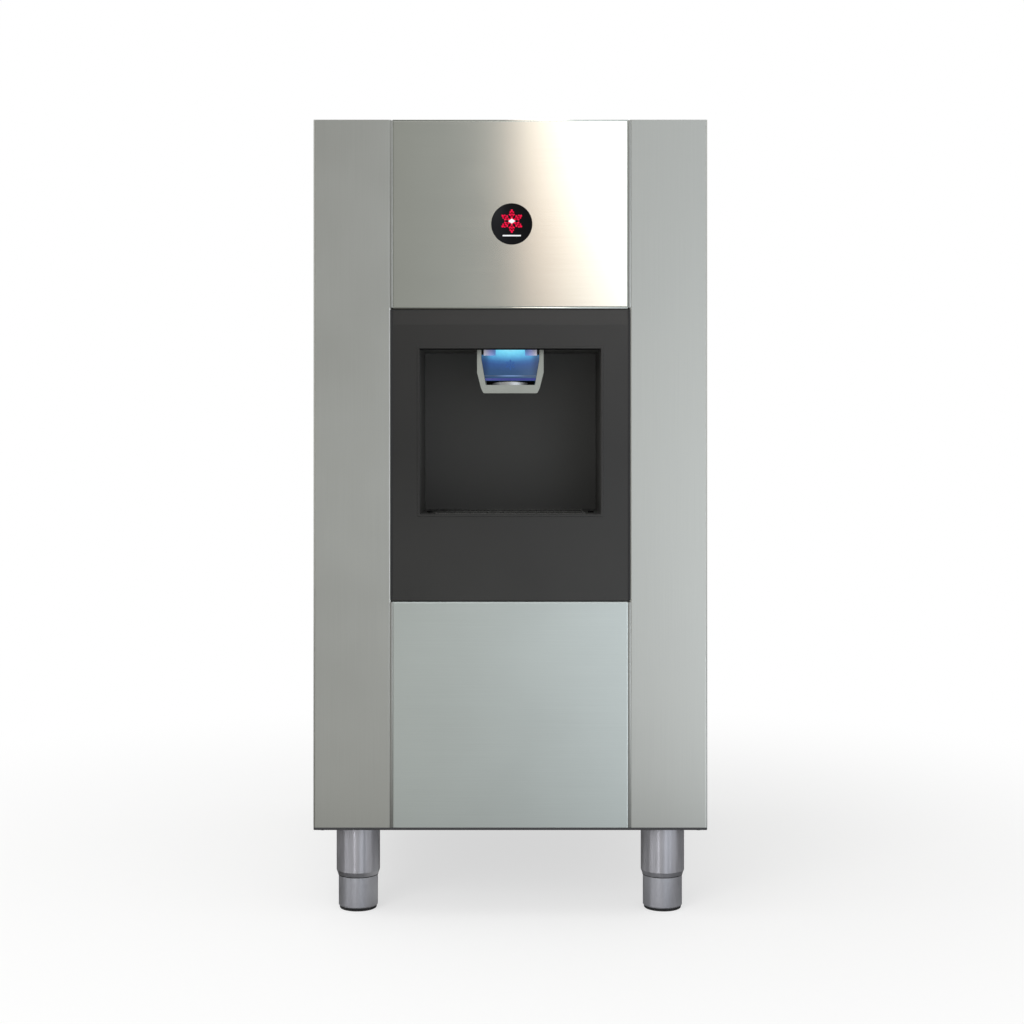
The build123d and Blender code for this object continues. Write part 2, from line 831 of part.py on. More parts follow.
def chute_face(top, drop, shrink=0):
    """The chute's front outline from top down to drop below the ceiling, or to its foot."""
    ceiling = alcove_ceiling
    half = chute_half_width - shrink
    slant = chute_slant_half_width - shrink
    right = [(half, top), (half, ceiling - chute_straight), (slant, ceiling - chute_slant_drop)]
    if drop > chute_slant_drop:
        right.append((chute_foot_half_width - shrink, ceiling - drop))
    left = [(-x, z) for x, z in reversed(right)]
    return outline(*left, *right)


def chute_window():
    """The opening in the chute's front, wider above than below."""
    ceiling = alcove_ceiling
    top = pivot_z - ear_radius
    return outline((-window_slant_half_width, ceiling - window_bottom),
                   (-window_top_half_width, ceiling - window_top), (-window_top_half_width, top),
                   (window_top_half_width, top), (window_top_half_width, ceiling - window_top),
                   (window_slant_half_width, ceiling - window_bottom))


def rocking_chute():
    """The chute's frame: front, two cheeks with pivot ears, back plate and the nose for the switch."""
    ceiling = alcove_ceiling
    back_y = chute_y + chute_length
    nose_y = pivot_y + nose_reach
    chute = front_slab(chute_face(pivot_z, chute_drop), chute_y, chute_y + chute_plate)
    chute = fillet(chute.edges().filter_by(Axis.Y).sort_by(Axis.Z)[:2], chute_plate)
    chute -= front_slab(chute_window(), chute_y - overrun, chute_y + chute_plate + overrun)
    ring = (front_slab(chute_face(pivot_z + ear_radius, chute_slant_drop), chute_y, back_y)
            - front_slab(chute_face(pivot_z + ear_radius + overrun, chute_slant_drop + overrun, chute_skin),
                         chute_y - overrun, back_y + overrun))
    cheek = outline((chute_y + chute_plate, ceiling - chute_slant_drop), (chute_y + chute_plate, pivot_z),
                    (nose_y + nose_radius, pivot_z), (back_y, ceiling - chute_back_top),
                    (back_y, ceiling - chute_back_drop))
    reach = chute_half_width + overrun
    cheek = side_slab(cheek, -reach, reach) + crosswise(ear_radius, -reach, reach, pivot_y, pivot_z)
    chute += ring & cheek
    back = front_slab(chute_face(ceiling - chute_back_top, chute_slant_drop), back_y - chute_skin, back_y)
    nose_x = chute_skin - chute_half_width
    chute += back + crosswise(nose_radius, nose_x, nose_x + nose_length, nose_y, pivot_z)
    return chute - crosswise(chute_pin_diameter / 2 + shaft_clearance, -reach, reach, pivot_y, pivot_z)


def chute_lens():
    """The translucent lens in the chute's window, narrower at the top."""
    ceiling = alcove_ceiling
    slope = (window_top_half_width - window_slant_half_width) / (window_bottom - window_top)
    half = window_top_half_width - lens_gap
    foot = half - slope * (lens_bottom - window_top)
    shoulder = ceiling - lens_shoulder
    right = [(lens_shoulder_half_width, pivot_z - ear_radius), (lens_shoulder_half_width, shoulder),
             (half, shoulder), (half, ceiling - window_top), (foot, ceiling - lens_bottom)]
    face = outline(*[(-x, z) for x, z in reversed(right)], *right)
    y0 = chute_y + lens_back
    return front_slab(face, y0, y0 + lens_thickness)


def lens_clips():
    """The two pale clips over the lens's top corners."""
    y1 = chute_y + lens_back
    x1 = lens_shoulder_half_width
    z0 = alcove_ceiling - clip_height
    clip = block(x1 - clip_width, x1, y1 - clip_thickness, y1, z0, pivot_z - ear_radius)
    return mirrored(clip), clip


def chute_lip():
    """The steel lip seen through the slot under the lens."""
    y0 = chute_y + chute_plate
    z1 = alcove_ceiling - window_bottom + lip_height
    lip = block(-lip_half_width, lip_half_width, y0, y0 + lip_length, z1 - 2 * lip_height, z1)
    return fillet(lip.edges().filter_by(Axis.X).group_by(Axis.Z)[-1], lip_height / 3)


def chute_pin():
    """The pin through the duct's cheeks and the chute's ears, headed at both ends."""
    end = duct_outer + pin_overhang
    pin = crosswise(chute_pin_diameter / 2, -end, end, pivot_y, pivot_z)
    for side in (-1, 1):
        ends = sorted((side * end, side * (end + pin_head_length)))
        pin += crosswise(pin_head_diameter / 2, *ends, pivot_y, pivot_z)
    return pin


def chute_spring():
    """The wound torsion spring on the pin, as one closed ring."""
    x1 = -duct_outer
    spring = crosswise(spring_radius, x1 - spring_length, x1, pivot_y, pivot_z)
    return spring - crosswise(chute_pin_diameter / 2, x1 - spring_length - overrun, x1 + overrun,
                              pivot_y, pivot_z)


def switch_body():
    """The switch on the duct's left cheek, over the chute's nose."""
    y = pivot_y + nose_reach
    z0 = pivot_z + nose_radius + switch_gap
    body = block(-duct_inner, switch_width - duct_inner, y - switch_length / 2, y + switch_length / 2,
                 z0, z0 + switch_height)
    bore_top = z0 + switch_bore
    return body - upright(switch_button_radius + fit_gap, switch_button_x, y, z0 - overrun, bore_top)


def switch_button():
    """The switch's button, a hair over the nose."""
    z0 = pivot_z + nose_radius + fit_gap
    return upright(switch_button_radius, switch_button_x, pivot_y + nose_reach, z0, z0 + switch_button_length)


def light_module():
    """The lamp board under the duct's bridge, over the lens."""
    return block(-light_half_length, light_half_length, pivot_y, pivot_y + light_width,
                 bridge_z - light_thickness, bridge_z)


def duct_floor():
    """The duct's sloping floor, and the points under it that its cheeks follow."""
    drop = 2 * duct_sheet
    rise = outlet_sill - duct_lip_drop - liner_ceiling_z
    run = foam_front_y - throat_y
    top = [(throat_y, liner_ceiling_z), (foam_front_y, liner_ceiling_z + rise)]
    under = [(foam_front_y, liner_ceiling_z + rise - drop), (throat_y + drop * run / rise, liner_ceiling_z)]
    return side_slab(outline(*top, *under), -duct_inner, duct_inner), under


def outlet_duct():
    """The welded duct from the bin's outlet down to the alcove: floor, cheeks, flanges and a bridge."""
    floor, under = duct_floor()
    y0 = throat_front_y - duct_front_margin
    cheek_z = pivot_z + duct_cheek_rise
    head_z = shutter_z + duct_head
    cheek = outline((y0, liner_ceiling_z), (y0, cheek_z), (y0 + duct_flat, cheek_z),
                    (shutter_y - shutter_rise, head_z), (foam_front_y, head_z), *under)
    duct = floor
    for side in (-1, 1):
        ends = sorted((side * duct_inner, side * duct_outer))
        duct += side_slab(cheek, *ends)
        ends = sorted((side * duct_outer, side * (duct_outer + duct_flange)))
        duct += block(*ends, y0, throat_y, liner_ceiling_z, liner_ceiling_z + duct_sheet)
    flange_x = duct_outer + duct_flange
    flange = block(-flange_x, flange_x, foam_front_y - duct_sheet, foam_front_y,
                   outlet_sill - duct_flange - duct_lip_drop, head_z)
    duct += flange - outlet_window()
    duct += block(-duct_inner, duct_inner, pivot_y, pivot_y + duct_bridge_width,
                  bridge_z, bridge_z + duct_sheet)
    duct -= crosswise(chute_pin_diameter / 2, -flange_x, flange_x, pivot_y, pivot_z)
    return duct - crosswise(shutter_shaft_diameter / 2 + shaft_clearance, -flange_x, flange_x,
                            shutter_y, shutter_z)


def shutter():
    """The plate over the outlet, on its shaft, with the slotted arm outside the duct's cheek."""
    radius = shutter_shaft_diameter / 2
    arm_x = duct_outer + shutter_arm_gap
    arm_end = arm_x + shutter_arm_thickness
    half = duct_inner - shutter_side_gap
    back_y = foam_front_y - duct_sheet - slot_clearance
    flap = crosswise(radius, -arm_x, arm_end, shutter_y, shutter_z)
    flap += block(-half, half, back_y - shutter_plate, back_y, outlet_sill - shutter_below, shutter_z)
    flap += block(-half, half, shutter_y, back_y, shutter_z - radius, shutter_z)
    room = crosspin_radius + slot_clearance
    reach = shutter_arm + room
    arm = block(arm_x, arm_end, -shutter_arm_width / 2, shutter_arm_width / 2, -reach - radius, 0)
    slot_top = room - shutter_arm * math.cos(half_swing)
    arm -= block(arm_x - overrun, arm_end + overrun, -room, room, -reach, slot_top)
    return flap + Pos(0, shutter_y, shutter_z) * Rot(shutter_swing / 2, 0, 0) * arm


def solenoid_plunger():
    """The solenoid's plunger, with the cross pin that draws the shutter's arm."""
    y0 = solenoid_y - solenoid_engagement
    plunger = lengthwise(plunger_diameter / 2, plunger_x, y0, crosspin_y + plunger_end, plunger_z)
    tip_x = duct_outer + shutter_arm_gap / 2
    return plunger + crosswise(crosspin_radius, tip_x, plunger_x, crosspin_y, plunger_z)


def solenoid_body():
    """The solenoid's case on the duct's right cheek."""
    y0 = solenoid_y - solenoid_length
    half = solenoid_height / 2
    body = block(duct_outer, duct_outer + solenoid_width, y0, solenoid_y, plunger_z - half, plunger_z + half)
    return body - lengthwise(plunger_diameter / 2 + shaft_clearance, plunger_x, y0 + solenoid_wall,
                             solenoid_y + overrun, plunger_z)


def top_deck():
    """The cabinet's top sheet between the walls, open over the bin."""
    deck = block(-wall_x, wall_x, front_y + panel_depth, half_depth - sheet, deck_z, top_z)
    deck = fillet(deck.edges().filter_by(Axis.Z).sort_by(Axis.Y)[-2:], bend_radius - sheet)
    for fill in corner_fills(deck_z, top_z):
        deck += fill
    y1 = rear_panel_y - sheet
    deck += block(-wall_x, wall_x, y1 - sheet, y1, deck_z - deck_turndown, deck_z)
    deck -= block(-bin_half_width, bin_half_width, bin_front_y, bin_back_y, deck_z - overrun, top_z + overrun)
    return deck - rear_screw_shanks()


def bin_lid():
    """The insulated lid: a cap over the deck and a plug in the bin's mouth."""
    half = bin_half_width + lid_overlap
    lid = block(-half, half, lid_front_y, lid_back_y, lid_base_z, lid_base_z + lid_thickness)
    lid = fillet(lid.faces().sort_by(Axis.Z)[-1].edges(), lid_corner)
    plug = bin_half_width - lid_plug_gap
    return lid + block(-plug, plug, bin_front_y + lid_plug_gap, bin_back_y - lid_plug_gap,
                       top_z - lid_plug, lid_base_z)


def lid_gasket():
    """The seal under the lid's cap."""
    inner = bin_half_width + lid_overlap - gasket_width
    outer = bin_half_width + lid_overlap
    seal = block(-outer, outer, lid_front_y, lid_back_y, lid_base_z - gasket_height, lid_base_z)
    return seal - block(-inner, inner, lid_front_y + gasket_width, lid_back_y - gasket_width,
                        lid_base_z - gasket_height - overrun, lid_base_z + overrun)


def lid_handle():
    """The pull along the lid's front edge."""
    z0 = lid_base_z + handle_rise
    pull = block(-handle_half_length, handle_half_length, lid_front_y - handle_reach, lid_front_y,
                 z0, z0 + handle_thickness)
    return fillet(pull.edges().filter_by(Axis.X).group_by(Axis.Y)[0], handle_corner)


def hinge_leaf_fixed(x):
    """A hinge's leaf on the deck, with the middle knuckle and the pin."""
    third = hinge_length / 6 - fit_gap
    half = hinge_length / 2
    leaf = block(x - half, x + half, hinge_y + hinge_knuckle_radius, hinge_y + hinge_leaf,
                 top_z, top_z + hinge_plate)
    leaf += block(x - third, x + third, hinge_y, hinge_y + hinge_knuckle_radius, top_z, hinge_z)
    leaf += block(x - third, x + third, hinge_y, hinge_y + hinge_leaf, top_z, top_z + hinge_plate)
    leaf += crosswise(hinge_knuckle_radius, x - third, x + third, hinge_y, hinge_z)
    return leaf + crosswise(hinge_pin_diameter / 2, x - half, x + half, hinge_y, hinge_z)


def hinge_strap(x):
    """A hinge's moving strap on the lid's back edge, with the two outer knuckles."""
    sixth = hinge_length / 6
    half = hinge_length / 2
    strap = block(x - half, x + half, lid_back_y, lid_back_y + hinge_plate,
                  lid_base_z + hinge_plate, lid_base_z + lid_thickness - lid_corner)
    for ends in ((x - half, x - sixth), (x + sixth, x + half)):
        strap += block(*ends, lid_back_y, hinge_y, hinge_z - hinge_plate, hinge_z + hinge_plate)
        strap += crosswise(hinge_knuckle_radius, *ends, hinge_y, hinge_z)
        strap -= crosswise(hinge_pin_diameter / 2 + shaft_clearance, *ends, hinge_y, hinge_z)
    return strap


def pipe_path():
    """The drain pipe's way: down from the trough, then out at the back."""
    return FilletPolyline((0, pipe_y, axle_height - trough_radius), (0, pipe_y, pipe_run_height),
                          (0, half_depth, pipe_run_height), radius=pipe_bend)


def along(path, radius):
    """A round rod along a path."""
    return sweep(Plane(origin=path @ 0, z_dir=path % 0) * Circle(radius), path=path)


def drain_manifold():
    """The bin's drain pipe with its branch for the hose and its spigot on the back."""
    bore = pipe_radius - pipe_wall
    branch = hose_bore()
    pipe = along(pipe_path(), pipe_radius)
    pipe += lengthwise(branch, 0, pipe_y - branch_length, pipe_y, hose_run_height)
    pipe += lengthwise(pipe_radius + pipe_flange, 0, rear_panel_y, rear_panel_y + pipe_flange_thickness,
                       pipe_run_height)
    pipe -= along(pipe_path(), bore)
    return pipe - lengthwise(tray_spigot_bore, 0, pipe_y - branch_length - overrun, pipe_y, hose_run_height)


def hose_bore():
    """The radius of the spigots that the hose is pushed over."""
    return tray_spigot_bore + tray_spigot_wall


def hose_path():
    """The hose's way from the tray's spigot to the manifold's branch."""
    y0, y1 = grille_span()
    y = (y0 + y1) / 2
    return FilletPolyline((0, y, alcove_floor - alcove_wall - tray_depth), (0, y, hose_run_height),
                          (0, pipe_y - pipe_radius, hose_run_height), radius=hose_bend)


def drain_hose():
    """The hose from the drip tray to the manifold."""
    return along(hose_path(), hose_bore() + hose_wall) - along(hose_path(), hose_bore())


def cable_gland():
    """The gland where a power cord comes out of the back."""
    x = -gland_offset
    y0 = rear_panel_y - sheet
    gland = lengthwise(gland_thread / 2, x, y0, rear_panel_y, gland_height)
    gland += lengthwise(gland_body / 2, x, rear_panel_y, rear_panel_y + gland_length, gland_height)
    gland += lengthwise(gland_body / 2, x, y0 - gland_bore, y0, gland_height)
    return gland - lengthwise(gland_bore / 2, x, y0 - gland_body, half_depth, gland_height)


def control_span():
    """The control box's left, right, front and back."""
    x1 = half_width - control_side_room
    y0 = front_y + control_from_front
    return x1 - control_width, x1, y0, y0 + control_depth


def control_box():
    """The box hung under the deck for the electrics, open at its front."""
    x0, x1, y0, y1 = control_span()
    z0 = deck_z - control_height
    skin = control_sheet
    box = block(x0, x1, y0, y1, z0, deck_z)
    return box - block(x0 + skin, x1 - skin, y0 - overrun, y1 - skin, z0 + skin, deck_z - skin)


def control_cover():
    """The cover on the control box's front."""
    x0, x1, y0, y1 = control_span()
    z0 = deck_z - control_height
    cover = block(x0, x1, y0 - control_sheet, y0, z0, deck_z)
    return cover + block(x0 + control_sheet, x1 - control_sheet, y0, y0 + control_flange,
                         deck_z - 2 * control_sheet, deck_z - control_sheet)


def control_board():
    """The board in the control box, on its standoffs, with two relays."""
    x0, x1, y0, y1 = control_span()
    back = y1 - control_sheet
    z0 = deck_z - control_height + board_margin
    z1 = deck_z - board_margin
    y = back - board_standoff
    left = x0 + board_margin
    right = x1 - board_margin
    board = block(left, right, y - board_thickness, y, z0, z1)
    inset = board_standoff
    for x in (left + inset, right - inset):
        for z in (z0 + inset, z1 - inset):
            board += lengthwise(board_standoff / 2, x, y, back, z)
    for z in (z0 + relay_size, z1 - 2 * relay_size):
        board += block(left + relay_size, left + 2 * relay_size, y - board_thickness - relay_height, y, z,
                       z + relay_size)
    return board


os.makedirs("parts", exist_ok=True)
upper_panel, lower_panel = front_panels()
save("side_panel_right", side_panel())
save("side_panel_left", mirrored(side_panel()))
save("base_pan", base_pan())
save("bottom_screws", *bottom_screws())
save("rear_panel", rear_panel())
save("rear_screws", *rear_screws())
save("front_panel_upper", upper_panel)
save("front_panel_lower", lower_panel)
save("badge_disc", badge_disc())
save("leg_sleeves", *[leg_sleeve(x, y) for x, y in leg_places])
save("leg_plates", *[leg_plate(x, y) for x, y in leg_places])
save("leg_nuts", *[leg_nut(x, y) for x, y in leg_places])
leg_names = ("front_left", "front_right", "rear_left", "rear_right")
for place, name in zip(leg_places, leg_names):
    save(f"foot_{name}", leg_foot(*place))
    save(f"glide_{name}", leg_glide(*place))
save("bin_liner", bin_liner())
save("bin_insulation", bin_insulation())
save("bin_saddles", *bin_saddles())
save("drive_stand", drive_stand())
save("shaft_bushes", *shaft_bushes())
save("drive_shaft", drive_shaft())
save("agitator_rods", *agitator_rods())
save("paddle_wheel", paddle_wheel())
save("gearbox", gearbox())
save("motor", motor())
save("dispense_panel", dispense_panel())
save("alcove_liner", alcove_liner())
save("drip_tray", drip_tray())
save("drip_grille", drip_grille())
save("rocking_chute", rocking_chute())
save("chute_lens", chute_lens())
save("lens_clips", *lens_clips())
save("chute_lip", chute_lip())
save("chute_pin", chute_pin())
save("chute_spring", chute_spring())
save("switch_body", switch_body())
save("switch_button", switch_button())
save("light_module", light_module())
save("outlet_duct", outlet_duct())
save("shutter", shutter())
save("solenoid_body", solenoid_body())
save("solenoid_plunger", solenoid_plunger())
save("top_deck", top_deck())
save("bin_lid", bin_lid())
save("lid_gasket", lid_gasket())
save("lid_handle", lid_handle())
save("lid_hinge_leaves", *[hinge_leaf_fixed(x) for x in (-hinge_place, hinge_place)])
save("lid_hinge_straps", *[hinge_strap(x) for x in (-hinge_place, hinge_place)])
save("drain_manifold", drain_manifold())
save("drain_hose", drain_hose())
save("cable_gland", cable_gland())
save("control_box", control_box())
save("control_cover", control_cover())
save("control_board", control_board())
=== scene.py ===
# %% [markdown]
# # A floor-standing ice dispenser
# The real object is a stainless cabinet on four feet, as in a hotel corridor. A bucket pushed under the
# small blue-lit chute gets ice. The CAD model gives every part its place and size. This file gives each part
# its finish, and models the details that the CAD leaves plain.

# %% Load the CAD frame
import math

import bmesh
import bpy
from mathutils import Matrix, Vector


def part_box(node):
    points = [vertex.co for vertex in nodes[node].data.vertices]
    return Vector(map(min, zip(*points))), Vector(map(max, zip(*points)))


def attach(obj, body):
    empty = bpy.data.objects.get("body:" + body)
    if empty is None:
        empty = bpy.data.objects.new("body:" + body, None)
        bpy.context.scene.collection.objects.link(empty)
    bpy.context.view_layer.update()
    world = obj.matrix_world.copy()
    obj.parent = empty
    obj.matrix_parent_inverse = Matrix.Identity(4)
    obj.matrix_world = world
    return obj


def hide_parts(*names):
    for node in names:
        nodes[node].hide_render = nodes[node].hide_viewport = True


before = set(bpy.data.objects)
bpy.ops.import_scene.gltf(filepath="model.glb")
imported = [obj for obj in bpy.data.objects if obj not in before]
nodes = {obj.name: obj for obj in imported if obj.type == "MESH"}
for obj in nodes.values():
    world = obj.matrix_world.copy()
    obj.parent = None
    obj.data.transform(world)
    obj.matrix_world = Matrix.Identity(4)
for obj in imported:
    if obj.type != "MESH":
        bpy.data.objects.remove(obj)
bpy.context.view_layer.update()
scene = bpy.context.scene
scene.view_settings.view_transform = "Standard"
MM = 0.001


def rounded(values, digits=4):
    """Numbers short enough to print."""
    return [round(value, digits) for value in values]


# %% [markdown]
# ## Colours and nodes
# Colours are easiest to read as the sRGB hex values of a paint program. Blender's sockets take linear light,
# so one function converts. Adding a node by hand is three steps: add it, set it, link it. One small function
# does all three, so that each material reads as a list of its nodes.

# %% Colours, nodes and materials
def linear(hex_colour, factor=1.0):
    """An sRGB hex colour, times a factor, as the linear RGBA that Blender's sockets take."""
    channels = [int(hex_colour[i:i + 2], 16) / 255 for i in (0, 2, 4)]
    channels = [c / 12.92 if c <= 0.04045 else ((c + 0.055) / 1.055) ** 2.4 for c in channels]
    return (*[min(c * factor, 1) for c in channels], 1)


def connect(node, inputs):
    """Sets a node's sockets to values, or links them to the sockets that feed them."""
    for name, value in inputs.items():
        if isinstance(value, bpy.types.NodeSocket):
            node.id_data.links.new(value, node.inputs[name])
        else:
            node.inputs[name].default_value = value


def add(tree, kind, inputs=None, **settings):
    """Adds a node, sets it and connects it."""
    made = tree.nodes.new("ShaderNode" + kind)
    for name, value in settings.items():
        setattr(made, name, value)
    connect(made, inputs or {})
    return made


def feed(shader, **sockets):
    """Connects a shader's sockets. In a socket's name an underscore stands for a space."""
    connect(shader, {name.replace("_", " "): value for name, value in sockets.items()})


def new_material(name, **sockets):
    """A material with its tree and its Principled shader, whose plain sockets are set here."""
    made = bpy.data.materials.new(name)
    made.use_nodes = True
    shader = made.node_tree.nodes["Principled BSDF"]
    feed(shader, **sockets)
    return made, made.node_tree, shader


print("Hex 808080 is", round(linear("808080")[0], 3), "in linear light")

# %% [markdown]
# Some steps come back in almost every material, so each is a short function that gives back the socket to go
# on with. Places are in metres, in the object's own coordinates, so a pattern stays on its piece.

# %% Steps that come back
def where(tree, axis=None):
    """The place of the shaded point, or how far along one axis it is."""
    point = add(tree, "TexCoord").outputs["Object"]
    return add(tree, "SeparateXYZ", {0: point}).outputs[axis] if axis else point


def maths(tree, operation, *values, clamp=False):
    """One step of arithmetic."""
    return add(tree, "Math", dict(enumerate(values)), operation=operation, use_clamp=clamp).outputs[0]


def product(tree, value, *factors):
    """Values multiplied by each other."""
    for factor in factors:
        value = maths(tree, "MULTIPLY", value, factor)
    return value


def off_centre(tree):
    """How far a point is from the middle, to either side."""
    return maths(tree, "ABSOLUTE", where(tree, "X"))


def distance_to(tree, centre, weights=(1, 1, 1)):
    """How far a point is from the centre. A small weight makes a direction count less."""
    away = add(tree, "VectorMath", {0: where(tree), 1: centre}, operation="SUBTRACT").outputs[0]
    away = add(tree, "VectorMath", {0: away, 1: weights}, operation="MULTIPLY").outputs[0]
    return add(tree, "VectorMath", {0: away}, operation="LENGTH").outputs["Value"]


def ranged(tree, value, low, high, to_low=0.0, to_high=1.0, soft=False):
    """A value taken from one range to another. soft eases both ends."""
    kind = "SMOOTHSTEP" if soft else "LINEAR"
    inputs = {0: value, 1: low, 2: high, 3: to_low, 4: to_high}
    return add(tree, "MapRange", inputs, interpolation_type=kind).outputs[0]


def between(tree, share, first, second):
    """A number between two others."""
    return add(tree, "Mix", {0: share, 2: first, 3: second}).outputs[0]


def blend(tree, share, low, high, spread=0.0):
    """A mix of two hex colours. spread darkens the first and lightens the second by that part."""
    inputs = {0: share, 6: linear(low, 1 - spread), 7: linear(high, 1 + spread)}
    return add(tree, "Mix", inputs, data_type="RGBA").outputs[2]


def noise(tree, scale, detail=2.0, roughness=0.5, stretch=(1, 1, 1)):
    """A noise from 0 to 1, mostly between 0.3 and 0.7. stretch makes it finer along X, Y and Z."""
    point = add(tree, "Mapping", {"Vector": where(tree), "Scale": stretch}).outputs[0]
    inputs = {"Vector": point, "Scale": scale, "Detail": detail, "Roughness": roughness}
    return add(tree, "TexNoise", inputs).outputs[0]


def ramp(tree, value, stops, soft=False):
    """Colours along a value. Each stop is a value and the grey or hex colour it gives."""
    low, high = stops[0][0], stops[-1][0]
    made = add(tree, "ValToRGB", {0: ranged(tree, value, low, high)})
    made.color_ramp.interpolation = "B_SPLINE" if soft else "LINEAR"
    colours = [linear(tone) if isinstance(tone, str) else (tone, tone, tone, 1) for at, tone in stops]
    elements = made.color_ramp.elements
    elements[0].color = colours[0]
    elements[1].color = colours[-1]
    for index in range(1, len(stops) - 1):
        elements.new((stops[index][0] - low) / (high - low)).color = colours[index]
    return made.outputs[0]


print("Node helpers ready")

# %% [markdown]
# ## Camera
# The photograph looks at the cabinet square from the front, with all uprights parallel. That needs a level
# camera, and the picture is moved up or down by the lens shift, not by tilting. The lens, distance and
# height come from the photograph's scale and its vanishing point.

# %% Camera
CAMERA_DISTANCE = 2.5
CAMERA_HEIGHT = 0.6907
UPRIGHT = (math.pi / 2, 0, 0)
front_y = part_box("front_panel_upper")[0].y
camera = bpy.data.cameras.new("camera")
camera.lens = 61.87
camera.shift_x = 0.0016
camera.shift_y = -0.0784
camera_object = bpy.data.objects.new("camera", camera)
camera_object.location = (0, front_y - CAMERA_DISTANCE, CAMERA_HEIGHT)
camera_object.rotation_euler = UPRIGHT
scene.collection.objects.link(camera_object)
scene.camera = camera_object
print("Camera at", rounded(camera_object.location), "panel at", round(front_y, 4))

# %% [markdown]
# ## World and lamps
# Soft even light shows an object as it is. The world is white to the camera and to reflections, and a little
# darker as a light. Two large lamps add the rest, one overhead and one in front, so that a pale surface
# facing them renders about as its colour is written. Light linking keeps the front lamp off the alcove, as a
# photographer does with a flag, so it is evenly dark.

# %% World and lamps
WORLD_AS_LIGHT = 0.72
world = bpy.data.worlds.new("studio")
world.use_nodes = True
scene.world = world
tree = world.node_tree
rays = add(tree, "LightPath").outputs
seen = maths(tree, "ADD", rays["Is Camera Ray"], rays["Is Glossy Ray"])
seen = maths(tree, "ADD", seen, rays["Is Transmission Ray"], clamp=True)
feed(tree.nodes["Background"], Color=(1, 1, 1, 1), Strength=ranged(tree, seen, 0, 1, WORLD_AS_LIGHT, 1))


def group(name, *names):
    """A collection of CAD nodes, for a light to be linked to."""
    made = bpy.data.collections.new(name)
    for node in names:
        made.objects.link(nodes[node])
    return made


aim = Vector((0, 0, 0.6))
for name, place, size, power in (("lamp_overhead", (-0.9, -0.6, 3.2), 2.4, 20),
                                 ("lamp_front", (-1.6, -3.4, 1.9), 1.8, 44)):
    lamp = bpy.data.lights.new(name, "AREA")
    lamp.shape = "SQUARE"
    lamp.size = size
    lamp.energy = power
    lamp_object = bpy.data.objects.new(name, lamp)
    lamp_object.location = place
    lamp_object.rotation_euler = (aim - Vector(place)).to_track_quat("-Z", "Y").to_euler()
    lamp_object.visible_camera = False
    lamp_object.visible_glossy = False
    scene.collection.objects.link(lamp_object)
flagged = group("hidden_from_lamp_front", "alcove_liner")
flagged.collection_objects[0].light_linking.link_state = "EXCLUDE"
bpy.data.objects["lamp_front"].light_linking.receiver_collection = flagged
print("World and 2 lamps")

# %% [markdown]
# ## Floor
# A plain pale floor carries the object's shadow. It is white and matt, and further out it fades to the white
# of the world, so that no horizon shows. The camera sees part of that white close by too, because the shadow
# in such a bright studio is faint.

# %% Floor
bpy.ops.object.select_all(action="DESELECT")
bpy.ops.mesh.primitive_circle_add(vertices=96, radius=14, fill_type="NGON", location=(0, 0, 0))
floor = bpy.context.object
floor.name = "floor"
material, tree, shader = new_material("floor_white_matt_paper", Base_Color=linear("f6f6f5"), Roughness=0.9,
                                      Specular_IOR_Level=0.0)
away = distance_to(tree, (0, 0, 0))
to_camera = ranged(tree, away, 0.45, 1.6, 0.62, soft=True)
to_mirrors = ranged(tree, away, 0.75, 2.4, soft=True)
rays = add(tree, "LightPath").outputs
mirrored = maths(tree, "ADD", rays["Is Glossy Ray"], rays["Is Transmission Ray"], clamp=True)
share = maths(tree, "MULTIPLY_ADD", rays["Is Camera Ray"], to_camera, product(tree, mirrored, to_mirrors))
white = add(tree, "Emission", {"Color": (1, 1, 1, 1), "Strength": 1.0})
mixed = add(tree, "MixShader", {0: share, 1: shader.outputs[0], 2: white.outputs[0]})
connect(tree.nodes["Material Output"], {"Surface": mixed.outputs[0]})
floor.data.materials.append(material)
print("Floor", rounded(floor.dimensions, 1))

# %% [markdown]
# ## What the steel sees
# A metal mostly shows the room. A photographer stands a large graded card in front of a steel cabinet, dark
# on one side and light on the other, and that gives its panels their soft grey ramp. The card here comes
# down behind the camera and runs on along the floor and under the cabinet, where it is darkest, so that the
# feet get dark flanks. One lighter patch there brightens the inner side of a leg. Only reflections see the
# card.

# %% Card helpers
def new_card(name, size, place, turn=(0, 0, 0)):
    """A plane that only reflections see."""
    bpy.ops.object.select_all(action="DESELECT")
    bpy.ops.mesh.primitive_plane_add(size=1, location=place, rotation=turn)
    card = bpy.context.object
    card.name = name
    card.scale = (*size, 1)
    bpy.ops.object.transform_apply(location=True, rotation=True, scale=True)
    for sense in ("camera", "diffuse", "shadow", "transmission"):
        setattr(card, "visible_" + sense, False)
    return card


def light_up(card, material, colour, strength, clear=True):
    """Gives a card its shining paper. A clear one doesn't hide what is behind it."""
    tree = material.node_tree
    paper = add(tree, "Emission", {"Color": colour, "Strength": strength})
    if clear:
        paper = add(tree, "AddShader", {0: paper.outputs[0], 1: add(tree, "BsdfTransparent").outputs[0]})
    connect(tree.nodes["Material Output"], {"Surface": paper.outputs[0]})
    card.data.materials.append(material)


print("Card helpers ready")

# %% Graded card
card = new_card("graded_card", (7.0, 4.55), (0, -0.975, 0.002))
bpy.ops.object.mode_set(mode="EDIT")
shape = bmesh.from_edit_mesh(card.data)
for edge in shape.edges:
    edge.select = all(vert.co.y < -3.2 for vert in edge.verts)
bmesh.update_edit_mesh(card.data)
bpy.ops.mesh.extrude_edges_move(TRANSFORM_OT_translate={"value": (0, -0.15, 3.2)})
bpy.ops.object.mode_set(mode="OBJECT")

